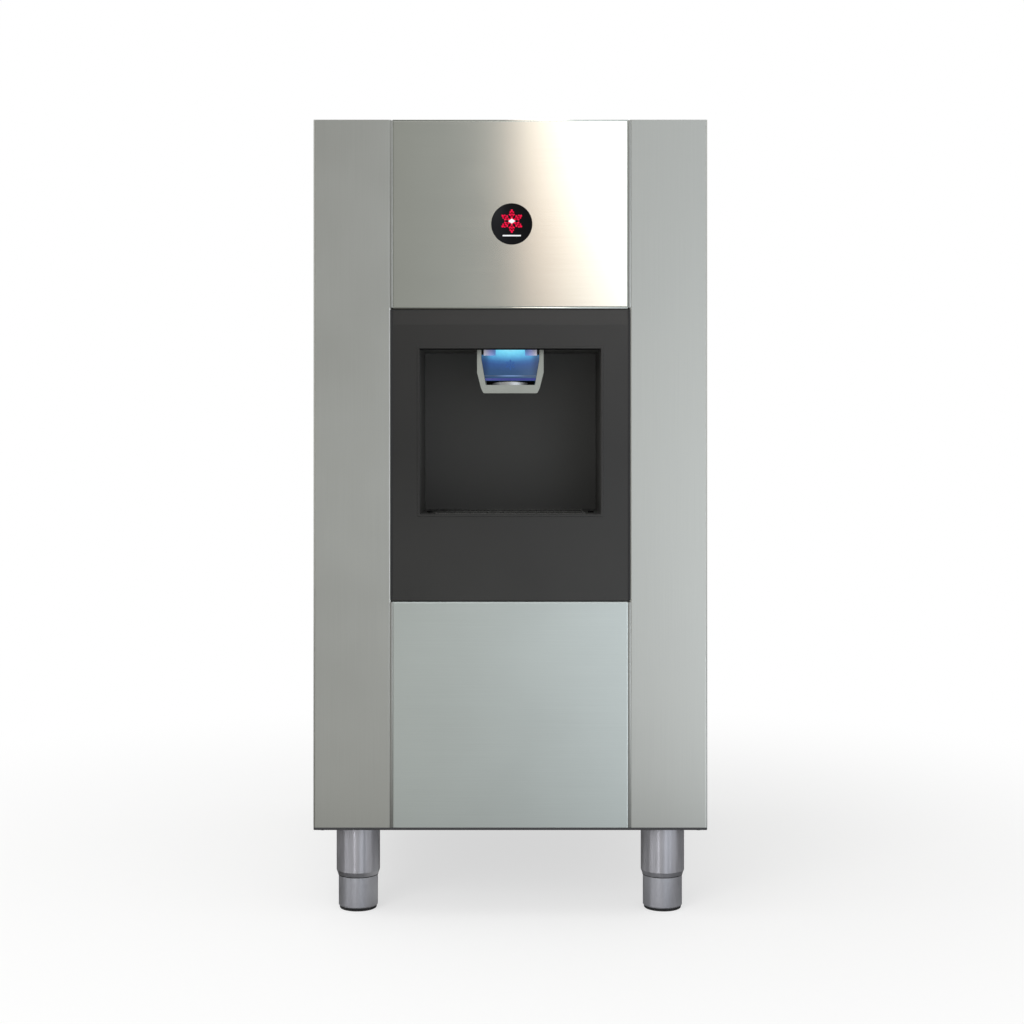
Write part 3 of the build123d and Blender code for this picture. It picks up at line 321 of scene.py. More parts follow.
material, tree, shader = new_material("card_graded_paper")
x, y, z = [where(tree, axis) for axis in "XYZ"]
across = ramp(tree, x, ((-2.2, 0.24), (-1.4, 0.24), (-0.9, 0.30), (-0.5, 0.35), (-0.32, 0.41), (0.0, 0.385),
                        (0.35, 0.56), (0.6, 0.76), (1.05, 1.0), (1.5, 0.65), (2.2, 0.22)), soft=True)
up_left = ranged(tree, z, -0.3, 0.7, 0.71, 0.91)
up_right = ranged(tree, z, 0.6, 1.6, 1.42, 0.93)
up = between(tree, ranged(tree, x, 0.2, 0.9, soft=True), up_left, up_right)
near = ranged(tree, y, -0.38, -1.0, 0.32, 1.04, soft=True)
near = between(tree, ranged(tree, x, -0.3, 0.2, 0, 0.8), near, 1.08)
sheen = ramp(tree, x, ((-0.6, 0.7), (-0.42, 0.7), (-0.25, 0.97), (-0.1, 0.87), (0.03, 0.7), (0.2, 0.65),
                       (0.35, 0.59), (0.48, 0.7), (0.6, 0.7)), soft=True)
sheen = between(tree, ranged(tree, z, 0.5, 0.0), 1.0, maths(tree, "DIVIDE", sheen, 0.7))
darkest = ranged(tree, x, 0.2, 0.5, 0.35, 0.05)
under = ranged(tree, y, -0.45, -0.75, darkest)
light = product(tree, across, 1.6, up, sheen, under, near)
patch = ranged(tree, distance_to(tree, (-0.05, -0.3, 0)), 0.2, 0.05, 0, 0.42, soft=True)
colour = blend(tree, ranged(tree, x, -0.6, 0.6), "fffdf6", "f4f9ff")
light_up(card, material, colour, maths(tree, "ADD", light, patch), clear=False)
print("Graded card", rounded(card.dimensions, 2))

# %% [markdown]
# ## Highlight card
# On the real cabinet a warm lamp makes a broad white band on the upper panel, which is polished finer than
# the rest. It stops at the panel's seams, because the flanges beside it are not quite in the same plane. One
# more card gives that band, and light linking shows it only to the panels in the middle.

# %% Highlight card
band = new_card("highlight_card", (0.62, 2.2), (0.33, -2.95, 1.9), UPRIGHT)
material, tree, shader = new_material("card_warm_glow")
height = where(tree, "Z")
slanted = maths(tree, "ADD", where(tree, "X"), product(tree, height, 0.25))
share = ranged(tree, slanted, 0.265, 0.66)
colour = blend(tree, ranged(tree, share, 0.15, 1), "ffcdac", "fffbf6")
power = product(tree, maths(tree, "POWER", share, 0.68), ranged(tree, height, 1.0, 1.4, 1.9, 3.1))
light_up(band, material, colour, power)
lit_nodes = group("lit_by_highlight_card", "front_panel_upper", "dispense_panel")
band.light_linking.receiver_collection = lit_nodes

# %% [markdown]
# ## Brushed stainless steel
# Kitchen cabinets are made of AISI 304 sheet with a number 4 finish: a belt of grit 180 leaves straight fine
# scratches. Across the scratches a reflection is smeared wide, along them it stays narrow, and anisotropy
# with a tangent does that. Real scratches are 0.02 mm apart, too fine to show, so the noise here draws them
# about 1 mm apart and very faint. Large soft clouds stand for the uneven pressure of the belt. The Bevel
# node rounds the sharp CAD edges in the shading.

# %% Brushed steel
finish = {}


def give(material, *names):
    """Notes the finish of CAD nodes."""
    finish.update(dict.fromkeys(names, material))


def roughen(shader, height, strength, depth_mm, edge_mm):
    """A bump on edges that are rounded in the shading."""
    tree = shader.id_data
    soft = add(tree, "Bevel", {"Radius": edge_mm * MM}, samples=4)
    bump = add(tree, "Bump", {"Strength": strength, "Distance": depth_mm * MM, "Height": height,
                              "Normal": soft.outputs[0]})
    feed(shader, Normal=bump.outputs[0])


def brushed_steel(name, colour, roughness, fineness, axis, anisotropic=0.6):
    """Steel with straight scratches. fineness is how often the noise changes along X, Y and Z, in 1/m."""
    made, tree, shader = new_material(name, Metallic=1.0, Anisotropic=anisotropic)
    scratches = noise(tree, 1.0, 4.0, 0.65, fineness)
    clouds = noise(tree, 4.0, 3.0)
    line = ranged(tree, scratches, 0.3, 0.7)
    tone = blend(tree, line, colour, colour, 0.025)
    cloudy = ranged(tree, clouds, 0.3, 0.7, 0.95, 1.05)
    tone = add(tree, "VectorMath", {0: tone, "Scale": cloudy}, operation="SCALE")
    dull = ranged(tree, clouds, 0.3, 0.7, roughness * 0.9, roughness * 1.1)
    dull = maths(tree, "MULTIPLY_ADD", line, 0.06 * roughness, dull)
    turned = add(tree, "Tangent", direction_type="RADIAL", axis=axis)
    feed(shader, Base_Color=tone.outputs[0], Roughness=dull, Tangent=turned.outputs[0])
    roughen(shader, scratches, 0.05, 0.1, 0.3)
    return made


UPRIGHT_LINES = (900, 900, 6)
LEVEL_LINES = (6, 900, 900)
# Painted light and shade: the four colours are lighter and darker copies of one 304 sheet, set to how bright
# each panel looks.
steel_side = brushed_steel("stainless_304_brushed_upright", "bcbdb8", 0.36, UPRIGHT_LINES, "Z")
steel_lower = brushed_steel("stainless_304_brushed_level", "cfd6d3", 0.36, LEVEL_LINES, "X")
steel_upper = brushed_steel("stainless_304_brushed_fine", "b5b8b2", 0.17, LEVEL_LINES, "X", 0.8)
steel_deck = brushed_steel("stainless_304_brushed_deck", "bfc1bd", 0.34, LEVEL_LINES, "X")
give(steel_side, "side_panel_left", "side_panel_right")
give(steel_lower, "front_panel_lower")
give(steel_upper, "front_panel_upper")
give(steel_deck, "top_deck")
print("Brushed steel on", sorted(finish))

# %% [markdown]
# ## Satin stainless steel
# The legs are thin tube polished to a satin: even, with only a soft mottle. They were polished round and
# round, so a reflection on them is drawn out up and down the tube: the tangent of their anisotropy points
# up. The wheel, rods, duct, shutter, handle and hinges have the same dull polish without a direction. The
# noise that mottles the colour also varies the roughness.

# %% Satin steel
def satin_metal(name, colour, roughness, mottle_mm, spread=0.06, bump_mm=0.03, fineness=(1, 1, 1)):
    """A dull polished metal with a soft mottle of the given size."""
    made, tree, shader = new_material(name, Metallic=1.0)
    mottle = noise(tree, 1 / (mottle_mm * MM), 5.0, 0.6, fineness)
    level = ranged(tree, mottle, 0.3, 0.7)
    feed(shader, Base_Color=blend(tree, level, colour, colour, spread),
         Roughness=ranged(tree, level, 0, 1, roughness * 0.85, roughness * 1.15))
    roughen(shader, mottle, 0.15, bump_mm, 0.6)
    return made


def draw_upward(material, amount):
    """Draws reflections out up and down, by anisotropy with an upright tangent."""
    tree = material.node_tree
    up = add(tree, "CombineXYZ", {"Z": 1.0})
    feed(tree.nodes["Principled BSDF"], Anisotropic=amount, Tangent=up.outputs[0])
    return material


corners = ("front_left", "front_right", "rear_left", "rear_right")
feet = ["foot_" + corner for corner in corners]
leg_steel = satin_metal("stainless_304_satin_tube", "bdbcc1", 0.33, 2.0, fineness=(1, 1, 0.08))
foot_steel = satin_metal("stainless_304_turned_foot", "bcbcc1", 0.43, 2.0, fineness=(1, 1, 0.3))
satin_steel = satin_metal("stainless_304_satin_sheet", "b4b6b5", 0.32, 6.0)
zinc_bright = satin_metal("steel_zinc_plated_bright", "c4c6c8", 0.22, 3.0)
cast_grey = satin_metal("aluminium_die_cast_shot_blasted", "8e9092", 0.48, 1.2, 0.10, 0.12)
give(draw_upward(leg_steel, 0.93), "leg_sleeves")
give(draw_upward(foot_steel, 0.6), *feet)
give(satin_steel, "agitator_rods", "paddle_wheel", "chute_lip", "outlet_duct", "shutter", "lid_handle",
     "lid_hinge_leaves", "lid_hinge_straps")
give(zinc_bright, "bottom_screws", "rear_screws", "leg_nuts", "drive_shaft", "chute_pin", "chute_spring",
     "solenoid_plunger")
give(cast_grey, "gearbox")
print("Satin metals: leg tube, foot, sheet, zinc and cast")

# %% [markdown]
# ## Galvanised sheet
# The parts that nobody sees, such as the base, the back and the stands, are hot-dip galvanised steel. Zinc
# freezes into flat crystals, the spangle, 5 to 12 mm across, each a slightly different grey. A Voronoi
# texture makes cells of that size, and the value of each cell shifts both the colour and the gloss.

# %% Galvanised sheet
SPANGLE = 9 * MM
galvanised, tree, shader = new_material("steel_galvanised_spangle", Metallic=1.0)
warp = add(tree, "TexNoise", {"Vector": where(tree), "Scale": 160.0, "Detail": 2.0})
bent = add(tree, "Mix", {0: 0.02, 6: where(tree), 7: warp.outputs["Color"]}, data_type="RGBA")
spangle = add(tree, "TexVoronoi", {"Vector": bent.outputs[2], "Scale": 1 / SPANGLE})
value = add(tree, "SeparateColor", {0: spangle.outputs["Color"]}).outputs
bump = add(tree, "Bump", {"Strength": 0.1, "Distance": 0.05 * MM, "Height": value[2]})
feed(shader, Base_Color=blend(tree, value[0], "a4a8ab", "bdc1c4"), Normal=bump.outputs[0],
     Roughness=ranged(tree, value[1], 0, 1, 0.34, 0.52))
give(galvanised, "base_pan", "rear_panel", "leg_plates", "bin_saddles", "drive_stand", "control_box",
     "control_cover")
print("Spangle of", SPANGLE, "m on the sheets behind")

# %% [markdown]
# ## Moulded plastics, rubber, foam and paint
# A moulded or painted part shows one colour, but never quite evenly: the mould leaves a fine grain that
# breaks up the highlight, and the colour drifts a little over a hand's width. One function makes all of them
# from a colour, a gloss and the size and depth of the grain, because only these differ. Its edges are
# rounded by the half millimetre that most moulded edges have. The black panel's colour is painted lighter
# towards its foot, which is painted light.

# %% Plastics
def moulded(name, colour, roughness, grain_mm, grain_depth=0.02, drift=0.06, ior=1.49, edge_mm=0.5):
    """A moulded, painted or printed non-metal with a fine surface grain."""
    made, tree, shader = new_material(name, IOR=ior)
    grain = noise(tree, 1 / (grain_mm * MM), 3.0)
    level = ranged(tree, noise(tree, 9.0, 4.0), 0.3, 0.7)
    feed(shader, Base_Color=blend(tree, level, colour, colour, drift),
         Roughness=ranged(tree, level, 0, 1, roughness * 0.92, roughness * 1.08))
    roughen(shader, grain, 0.2, grain_depth, edge_mm)
    return made


black_panel = moulded("ABS_black_satin_moulded", "131312", 0.42, 0.8, 0.03, 0.12)
tree = black_panel.node_tree
shader = tree.nodes["Principled BSDF"]
tone = shader.inputs["Base Color"].links[0].from_socket
# Painted light: the black panel is lighter towards its foot.
painted_light_towards_foot = ranged(tree, where(tree, "Z"), 0.66, 0.46, 0.8, 2.4)
tone = add(tree, "VectorMath", {0: tone, "Scale": painted_light_towards_foot}, operation="SCALE")
feed(shader, Base_Color=tone.outputs[0])
give(black_panel, "dispense_panel", "switch_body", "cable_gland")

# Painted light: the alcove liner's black is lighter than the panel's, making up for the front lamp kept off
# it.
black_painted_lighter = moulded("ABS_black_matt_formed", "4b4b49", 0.65, 1.0, 0.04, 0.04, edge_mm=2.0)
# Black of the grille's buffers, and painted shade where dark pieces stand in for shade in the alcove and
# louvres.
black_and_painted_shade = moulded("ABS_black_matt_and_painted_shade", "050505", 0.95, 1.0, ior=1.2)
gloss_black = moulded("acrylic_black_gloss", "0a0a0d", 0.14, 3.0, 0.005, ior=1.22)
pale_grey = moulded("ABS_pale_grey_satin", "8d918b", 0.38, 1.2)
white_hdpe = moulded("polyethylene_white_food_grade", "e3e6e6", 0.4, 2.5, 0.06)
rubber = moulded("rubber_black_moulded", "1c1c1d", 0.62, 0.9, 0.05)
pipe_grey = moulded("PVC_grey_extruded", "86898c", 0.4, 2.0, 0.02)
give(black_painted_lighter, "alcove_liner")
give(gloss_black, "badge_disc")
give(pale_grey, "rocking_chute")
give(white_hdpe, "bin_liner", "shaft_bushes", "bin_lid")
give(rubber, "lid_gasket", "drain_hose", *["glide_" + corner for corner in corners])
give(pipe_grey, "drain_manifold")
give(moulded("ABS_black_fine_grain", "323230", 0.6, 0.8, 0.05), "drip_tray", "drip_grille")
give(moulded("polycarbonate_lilac_frosted", "b9b4d6", 0.35, 1.0), "lens_clips", "switch_button")
give(moulded("polyurethane_foam_rigid_cream", "d8c795", 0.85, 1.6, 0.6, 0.10), "bin_insulation")
give(moulded("enamel_grey_sprayed", "5b6068", 0.38, 1.8, 0.04), "motor", "solenoid_body")
give(moulded("epoxy_board_green_resist", "1d5a34", 0.3, 1.0, 0.02), "light_module", "control_board")
print(len(finish), "nodes have a finish so far")

# %% [markdown]
# ## Lit blue lens
# The lens is tinted polycarbonate, lit from behind its top edge by a small lamp. Close to the lamp it is
# pale cyan, and it falls off to a deep blue within about 15 mm. The glow is painted light in the material:
# its colour is worked out from the distance to the lamp, so it stays on the lens from every side. Towards
# both sides it is painted darker, which is painted shade.

# %% Lens material
lens_low, lens_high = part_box("chute_lens")
lamp_place = (0, lens_low.y, lens_high.z - 9 * MM)
lens_blue, tree, shader = new_material("polycarbonate_blue_lit", Base_Color=linear("1c2c4c"), Roughness=0.16,
                                       IOR=1.58, Specular_IOR_Level=0.3)
reach = ranged(tree, distance_to(tree, lamp_place, (0.29, 0.3, 1.0)), 0, 50 * MM)
tint = ramp(tree, reach, ((0, "98e6fb"), (0.10, "7bdaf6"), (0.19, "62bbe0"), (0.27, "4b96c4"),
                          (0.36, "306599"), (0.45, "254a7e"), (0.62, "1f4062"), (1, "1c3e50")))
uneven = ranged(tree, noise(tree, 220.0), 0.3, 0.7, 0.94, 1.06)
# Painted shade: the glow is darker towards the lens's two sides.
rim = ranged(tree, off_centre(tree), 27 * MM, 38 * MM, 1.0, 0.4, soft=True)
feed(shader, Emission_Color=tint, Emission_Strength=product(tree, rim, uneven))
give(lens_blue, "chute_lens")
print("Lens lamp at", rounded(lamp_place))

# %% [markdown]
# ## Give every CAD node its finish
# A CAD object keeps its mesh and its place. Only its material slots change.

# %% Assign the finishes
for name, piece in nodes.items():
    piece.data.materials.clear()
    piece.data.materials.append(finish[name])
print("Finished", len(nodes), "CAD nodes with", len({m.name for m in finish.values()}), "materials")

# %% [markdown]
# ## Modelling helpers
# New pieces start from a primitive, are shaped in edit mode and finished with modifiers, as by hand. Short
# helpers save repeating the same steps. Most work on what is selected, as the operators do.

# %% Helpers for new pieces
def deselect():
    """Operators act on all that is selected, so each piece starts with nothing selected."""
    if bpy.context.object and bpy.context.object.mode != "OBJECT":
        bpy.ops.object.mode_set(mode="OBJECT")
    bpy.ops.object.select_all(action="DESELECT")


def pick(piece):
    """Makes one piece the active one and the only one selected."""
    deselect()
    bpy.context.view_layer.objects.active = piece
    piece.select_set(True)


def settle(name):
    """Names the new object and moves its place, turn and size into its mesh."""
    piece = bpy.context.object
    piece.name = name
    bpy.ops.object.transform_apply(location=True, rotation=True, scale=True)
    return piece


def new_block(name, low, high):
    """A cube primitive between two corners."""
    deselect()
    low, high = Vector(low), Vector(high)
    bpy.ops.mesh.primitive_cube_add(size=1, location=(low + high) / 2)
    bpy.context.object.scale = high - low
    return settle(name)


def choose(piece, what, test):
    """In edit mode, selects only the verts, edges or faces that pass the test, and says how many."""
    if piece.mode != "EDIT":
        bpy.ops.object.mode_set(mode="EDIT")
    bpy.ops.mesh.select_mode(type={"verts": "VERT", "edges": "EDGE", "faces": "FACE"}[what])
    bpy.ops.mesh.select_all(action="DESELECT")
    shape = bmesh.from_edit_mesh(piece.data)
    chosen = [part for part in getattr(shape, what) if test(part)]
    for part in chosen:
        part.select_set(True)
    bmesh.update_edit_mesh(piece.data)
    return len(chosen)


def faces_to(piece, axis, sign):
    """Selects the flat faces that look one way along an axis, 0 to 2."""
    return choose(piece, "faces", lambda face: sign * face.normal[axis] > 0.9)


def choose_edges(piece, test):
    """Selects the edges that have both ends where the test is true."""
    return choose(piece, "edges", lambda edge: all(test(vert.co) for vert in edge.verts))


def move(x=0, y=0, z=0):
    """Moves what is selected, in metres."""
    bpy.ops.transform.translate(value=(x, y, z))


def inset(width, y=0, z=0):
    """Insets the selected faces and moves them, in metres."""
    bpy.ops.mesh.inset(thickness=width)
    move(y=y, z=z)


def extrude(y=0, z=0):
    """Draws the selected faces out, in metres."""
    bpy.ops.mesh.extrude_region_move(TRANSFORM_OT_translate={"value": (0, y, z)})


def paint(piece, index):
    """Gives the selected faces the material of a slot."""
    piece.active_material_index = index
    bpy.ops.object.material_slot_assign()


def twin(piece, name):
    """A copy with its own mesh."""
    made = bpy.data.objects.new(name, piece.data.copy())
    scene.collection.objects.link(made)
    return made


def open_whole(piece):
    """Opens one piece in edit mode, with all of it selected."""
    pick(piece)
    bpy.ops.object.mode_set(mode="EDIT")
    bpy.ops.mesh.select_all(action="SELECT")


def turn_about(piece, degrees, centre, axis="Y", shift=(0, 0, 0)):
    """Turns a whole piece about an axis through the centre, then shifts it."""
    open_whole(piece)
    if degrees:
        bpy.ops.transform.rotate(value=math.radians(degrees), orient_axis=axis, center_override=centre)
    move(*shift)
    bpy.ops.object.mode_set(mode="OBJECT")
    return piece


def join(pieces, name):
    """Joins pieces into one object."""
    pick(pieces[0])
    for piece in pieces:
        piece.select_set(True)
    bpy.ops.object.join()
    pieces[0].name = name
    return pieces[0]


print("Helpers ready")

# %% [markdown]
# Each new piece is closed in the same way: its edges are rounded, because no real edge is sharp, and it gets
# its finish and the body that it moves with. A piece that replaces a CAD node often starts as a copy of that
# node's mesh.

# %% Closing and copying
def apply(piece, kind, **settings):
    """Adds a modifier and applies it."""
    pick(piece)
    modifier = piece.modifiers.new(kind.lower(), kind)
    for setting, value in settings.items():
        setattr(modifier, setting, value)
    bpy.ops.object.modifier_apply(modifier=modifier.name)


def close_piece(piece, body, material, round_mm=0.3, replaces=()):
    """Rounds the edges, smooths, gives the finish, and joins the piece to its body."""
    if round_mm:
        apply(piece, "BEVEL", width=round_mm * MM, segments=2, limit_method="ANGLE",
              angle_limit=math.radians(30))
    pick(piece)
    bpy.ops.object.shade_smooth_by_angle(angle=math.radians(35))
    if not piece.data.materials:
        piece.data.materials.append(material)
    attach(piece, body)
    if replaces:
        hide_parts(*replaces)
    print(piece.name, len(piece.data.polygons), "faces on", body)
    return piece


def copy_of(node, name):
    """A copy of a CAD node's mesh, with its doubled vertices merged and its flat faces made whole again."""
    piece = twin(nodes[node], name)
    piece.data.materials.clear()
    open_whole(piece)
    bpy.ops.mesh.customdata_custom_splitnormals_clear()
    bpy.ops.mesh.remove_doubles(threshold=0.002 * MM)
    bpy.ops.mesh.dissolve_limited(angle_limit=math.radians(0.5))
    return piece


print("Closing helpers ready")

# %% [markdown]
# ## Badge
# A black plate the size of a jar lid sits on the upper panel. It has a low rim, so its field lies half a
# millimetre deeper. The plate is a cylinder whose front face is inset and pushed in.

# %% Badge plate
FIELD_DEPTH = 0.5 * MM
badge_low, badge_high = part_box("badge_disc")
badge_centre = (badge_low + badge_high) / 2
deselect()
bpy.ops.mesh.primitive_cylinder_add(vertices=128, radius=(badge_high.x - badge_low.x) / 2, rotation=UPRIGHT,
                                    depth=badge_high.y - badge_low.y, location=badge_centre)
badge = settle("badge_plate")
faces_to(badge, 1, -1)
inset(1.1 * MM, y=FIELD_DEPTH)
close_piece(badge, "cabinet", gloss_black, 0.2, replaces=["badge_disc"])

# %% [markdown]
# The sign on it is a plain red frost crystal, as on any ice machine, with a small white diamond in its
# middle and a short white line below. One arm is a thin bar with two pairs of side branches. Each is a
# block, turned about the axis that runs into the panel. Five more arms are copies, each turned a further 60
# degrees. transform.rotate is given its centre, because without a window it ignores the pivot.

# %% Frost crystal
enamel_white = moulded("enamel_white_printed", "e9ebee", 0.25, 2.0, 0.005, ior=1.3)
enamel_red = moulded("enamel_red_printed", "f20840", 0.25, 2.0, 0.005, ior=1.22)


def frost_crystal(name, centre, front_y, back_y, size, boldness=0.055):
    """A six-armed crystal of the given radius, lying in the XZ plane."""
    half = size * boldness

    def bar(x, z, half_width, length):
        return new_block("bar", (x - half_width, front_y, z), (x + half_width, back_y, z + length))

    parts = [bar(centre.x, centre.z, half, size)]
    for at, length in ((0.42, 0.30), (0.68, 0.22)):
        for side in (-1, 1):
            foot = Vector((centre.x, centre.y, centre.z + at * size))
            branch = bar(foot.x, foot.z, half * 0.8, length * size)
            parts.append(turn_about(branch, side * 52, foot))
    arm = join(parts, "arm")
    arms = [turn_about(twin(arm, "arm"), degrees, centre) for degrees in range(60, 360, 60)]
    return join([arm] + arms, name)


field_y = badge_low.y + FIELD_DEPTH
sign_centre = badge_centre + Vector((0, 0, 4.0 * MM))
front_y, back_y = field_y - 0.2 * MM, field_y + 0.1 * MM
crystal = frost_crystal("badge_crystal", sign_centre, front_y, back_y, 16.5 * MM, 0.08)
close_piece(crystal, "cabinet", enamel_red, 0)

# %% Diamond and line
half = 3.2 * MM
diamond = new_block("badge_diamond", (sign_centre.x - half, field_y - 0.35 * MM, sign_centre.z - half),
                    (sign_centre.x + half, back_y, sign_centre.z + half))
turn_about(diamond, 45, sign_centre)
bpy.ops.object.mode_set(mode="EDIT")
bpy.ops.transform.resize(value=(1.15, 1, 0.8), center_override=sign_centre)
close_piece(diamond, "cabinet", enamel_white, 0.1)
half = 13 * MM
line = new_block("badge_line", (badge_centre.x - half, front_y, badge_centre.z - 17.6 * MM),
                 (badge_centre.x + half, back_y, badge_centre.z - 15.6 * MM))
close_piece(line, "cabinet", enamel_white, 0.1)

# %% [markdown]
# ## Rocking chute
# The chute is a pale grey moulding that hangs in the alcove. Its front is a U-shaped frame with soft
# corners. The CAD shape is right but sharp, so a merged copy gets its foot drawn out a little at both ends,
# and its edges rounded by a bevel, larger on the two bottom corners, which hands and buckets touch.

# %% Chute frame
chute_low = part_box("rocking_chute")[0]
chute = copy_of("rocking_chute", "chute_frame")


def is_foot_corner(edge):
    """True for the two edges along Y where the sloping foot meets the sides."""
    a, b = (vert.co for vert in edge.verts)
    along = abs(a.x - b.x) < 0.1 * MM and abs(a.z - b.z) < 0.1 * MM and abs(a.y - b.y) > 1.5 * MM
    return along and a.z < chute_low.z + 9 * MM and abs(a.x) > 41 * MM


foot_top = chute_low.z + 1.2 * MM
for side in (-1, 1):
    choose(chute, "verts", lambda v: 34.8 * MM < side * v.co.x < 38 * MM and v.co.z < foot_top)
    move(x=side * 2.0 * MM)
found = choose(chute, "edges", is_foot_corner)
bpy.ops.mesh.bevel(offset=3.6 * MM, segments=5)
print("Rounded", found, "corner edges")
close_piece(chute, "chute", pale_grey, 0.5, replaces=["rocking_chute"])

# %% [markdown]
# ## Blue lens
# The lens fills the chute's window. A copy of its CAD shape is cut across near its foot. The strip between
# two cuts is pushed forward as a thin ridge, whose line of light is a painted highlight, and the foot below
# it is drawn back, where a painted glow makes the tint violet.

# %% Lens finishes
def painted_glow(name, roughness, ior, strength, fineness, low, high):
    """Polycarbonate with a painted glow: it emits its own streaky colour, standing in for the lamp's light.
    """
    made, tree, shader = new_material(name, Roughness=roughness, IOR=ior, Emission_Strength=strength)
    tone = blend(tree, noise(tree, fineness), low, high)
    feed(shader, Base_Color=tone, Emission_Color=tone)
    return made


deep_violet = painted_glow("polycarbonate_violet_edge", 0.2, 1.58, 0.7, 180.0, "1c2260", "252a6c")
engraved = painted_glow("polycarbonate_blue_engraved", 0.35, 1.3, 0.8, 900.0, "203f70", "284a80")
ridge_painted_highlight, tree, shader = new_material("polycarbonate_blue_ridge_painted_highlight", Base_Color=linear("1c3044"),
                                       Roughness=0.3, IOR=1.58)
tone = blend(tree, noise(tree, 180.0), "6480b0", "708cba")
# Painted highlight: the ridge's glow is brightest in the middle.
middle = ranged(tree, off_centre(tree), 2 * MM, 26 * MM, 1.0, 0.2, soft=True)
feed(shader, Emission_Color=tone, Emission_Strength=middle)

print("Finishes", deep_violet.name, engraved.name, ridge_painted_highlight.name)

# %% Lens
lens = copy_of("chute_lens", "lens_blue")
for finish_of_face in (lens_blue, deep_violet, ridge_painted_highlight):
    lens.data.materials.append(finish_of_face)
ridge_z = lens_low.z + 7.0 * MM
ridge_half = 0.9 * MM
foot_z = ridge_z - 2.8 * MM
for cut in (foot_z, ridge_z - ridge_half, ridge_z + ridge_half):
    bpy.ops.mesh.select_all(action="SELECT")
    bpy.ops.mesh.bisect(plane_co=(0, 0, cut), plane_no=(0, 0, 1))


def in_front(face, low, high):
    """True for front faces whose middle lies between two heights."""
    return face.normal.y < -0.9 and low < face.calc_center_median().z < high


choose(lens, "faces", lambda face: in_front(face, ridge_z - ridge_half, ridge_z + ridge_half))
extrude(y=-0.45 * MM)
paint(lens, 2)
choose(lens, "faces", lambda face: in_front(face, lens_low.z, foot_z))
inset(0.4 * MM, y=0.5 * MM)
paint(lens, 1)
close_piece(lens, "chute", lens_blue, 0.25, replaces=["chute_lens"])

mark_place = Vector((0, lens_low.y, lens_low.z + 23 * MM))
mark = frost_crystal("lens_crystal", mark_place, lens_low.y - 0.15 * MM, lens_low.y + 0.1 * MM, 7.5 * MM)
close_piece(mark, "chute", engraved, 0)

# %% [markdown]
# ## Lens clips
# Two frosted tabs hold the lens at its top corners. Each starts as a block, its front is inset and its foot
# is drawn in, so that it ends in a thin springy edge. The blue of the tab's inner end is painted light from
# the lens, which a ramp along X gives.

# %% Lens clips
frosted, tree, shader = new_material("polycarbonate_frosted_painted_lens_light", Roughness=0.4, IOR=1.58)
frost = noise(tree, 700.0, 3.0)
# Painted light: the tab is bluer towards its inner end, next to the lens.
inward = ranged(tree, off_centre(tree), 22 * MM, 36 * MM)
inward = maths(tree, "ADD", inward, ranged(tree, frost, 0, 1, -0.1, 0.1))
bump = add(tree, "Bump", {"Strength": 0.2, "Distance": 0.02 * MM, "Height": frost})
tint = ramp(tree, inward, ((0, "6492da"), (0.5, "98a2e0"), (1, "c0bed0")))
feed(shader, Base_Color=tint, Normal=bump.outputs[0])

CLIP_WIDTH = 17 * MM
clip_low, clip_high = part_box("lens_clips")
clip_low.z -= 1.5 * MM
clips = []
for x0 in (clip_low.x, clip_high.x - CLIP_WIDTH):
    clip = new_block("clip", (x0, clip_low.y, clip_low.z), (x0 + CLIP_WIDTH, clip_high.y, clip_high.z))
    faces_to(clip, 1, -1)
    inset(1.6 * MM, y=0.5 * MM)
    choose_edges(clip, lambda at: at.z < clip_low.z + 0.1 * MM and at.y < clip_low.y + 0.1 * MM)
    move(y=0.6 * MM)
    clips.append(clip)
close_piece(join(clips, "clip_pair"), "chute", frosted, 0.3, replaces=["lens_clips"])

# %% [markdown]
# ## Steel lip
# Ice slides over a small steel tongue at the chute's foot. It bulges to the front, so that its ends turn
# away.
# It is a block cut into strips. Each cut is moved back and down by the square of its distance from the
# middle, which gives a smooth arch. Its bright middle is a painted highlight and its black ends are painted
# shade: a ramp along X, broken up by noise, mixes the two. A black plate behind it is painted shade too,
# standing in for the dark of the slot that the ice comes through.

# %% Lip finish
steel_painted_highlight_and_shade, tree, shader = new_material("stainless_304_painted_highlight_and_shade")
ragged = ranged(tree, noise(tree, 350.0, 4.0), 0, 1, -3 * MM, 3 * MM)
# Painted highlight and painted shade: bright steel in the middle, black towards the ends.
painted_highlight_share = ranged(tree, maths(tree, "ADD", off_centre(tree), ragged), 27 * MM, 9 * MM, soft=True)
feed(shader, Base_Color=blend(tree, painted_highlight_share, "080808", "c6c8c8"), Metallic=painted_highlight_share,
     Roughness=ranged(tree, painted_highlight_share, 0, 1, 0.7, 0.34))
print("Finish", steel_painted_highlight_and_shade.name)

# %% Lip
LIP_THICK = 1.4 * MM
LIP_STRIPS = 16
lip_low, lip_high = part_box("chute_lip")
lip = new_block("lip_tongue", lip_low, (lip_high.x, lip_low.y + LIP_THICK, lip_high.z))
bpy.ops.object.mode_set(mode="EDIT")
for index in range(1, LIP_STRIPS):
    bpy.ops.mesh.select_all(action="SELECT")
    x = lip_low.x + (lip_high.x - lip_low.x) * index / LIP_STRIPS
    bpy.ops.mesh.bisect(plane_co=(x, 0, 0), plane_no=(1, 0, 0))
columns = sorted({round(vert.co.x, 6) for vert in bmesh.from_edit_mesh(lip.data).verts})
for x in columns:
    share = (x / lip_high.x) ** 2
    choose(lip, "verts", lambda vert: abs(vert.co.x - x) < 1e-5)
    move(y=share * (lip_high.y - lip_low.y - LIP_THICK - 0.1 * MM))
    choose(lip, "verts", lambda vert: abs(vert.co.x - x) < 1e-5 and vert.co.z > lip_high.z - 5 * MM)
    move(z=-share * 1.8 * MM)
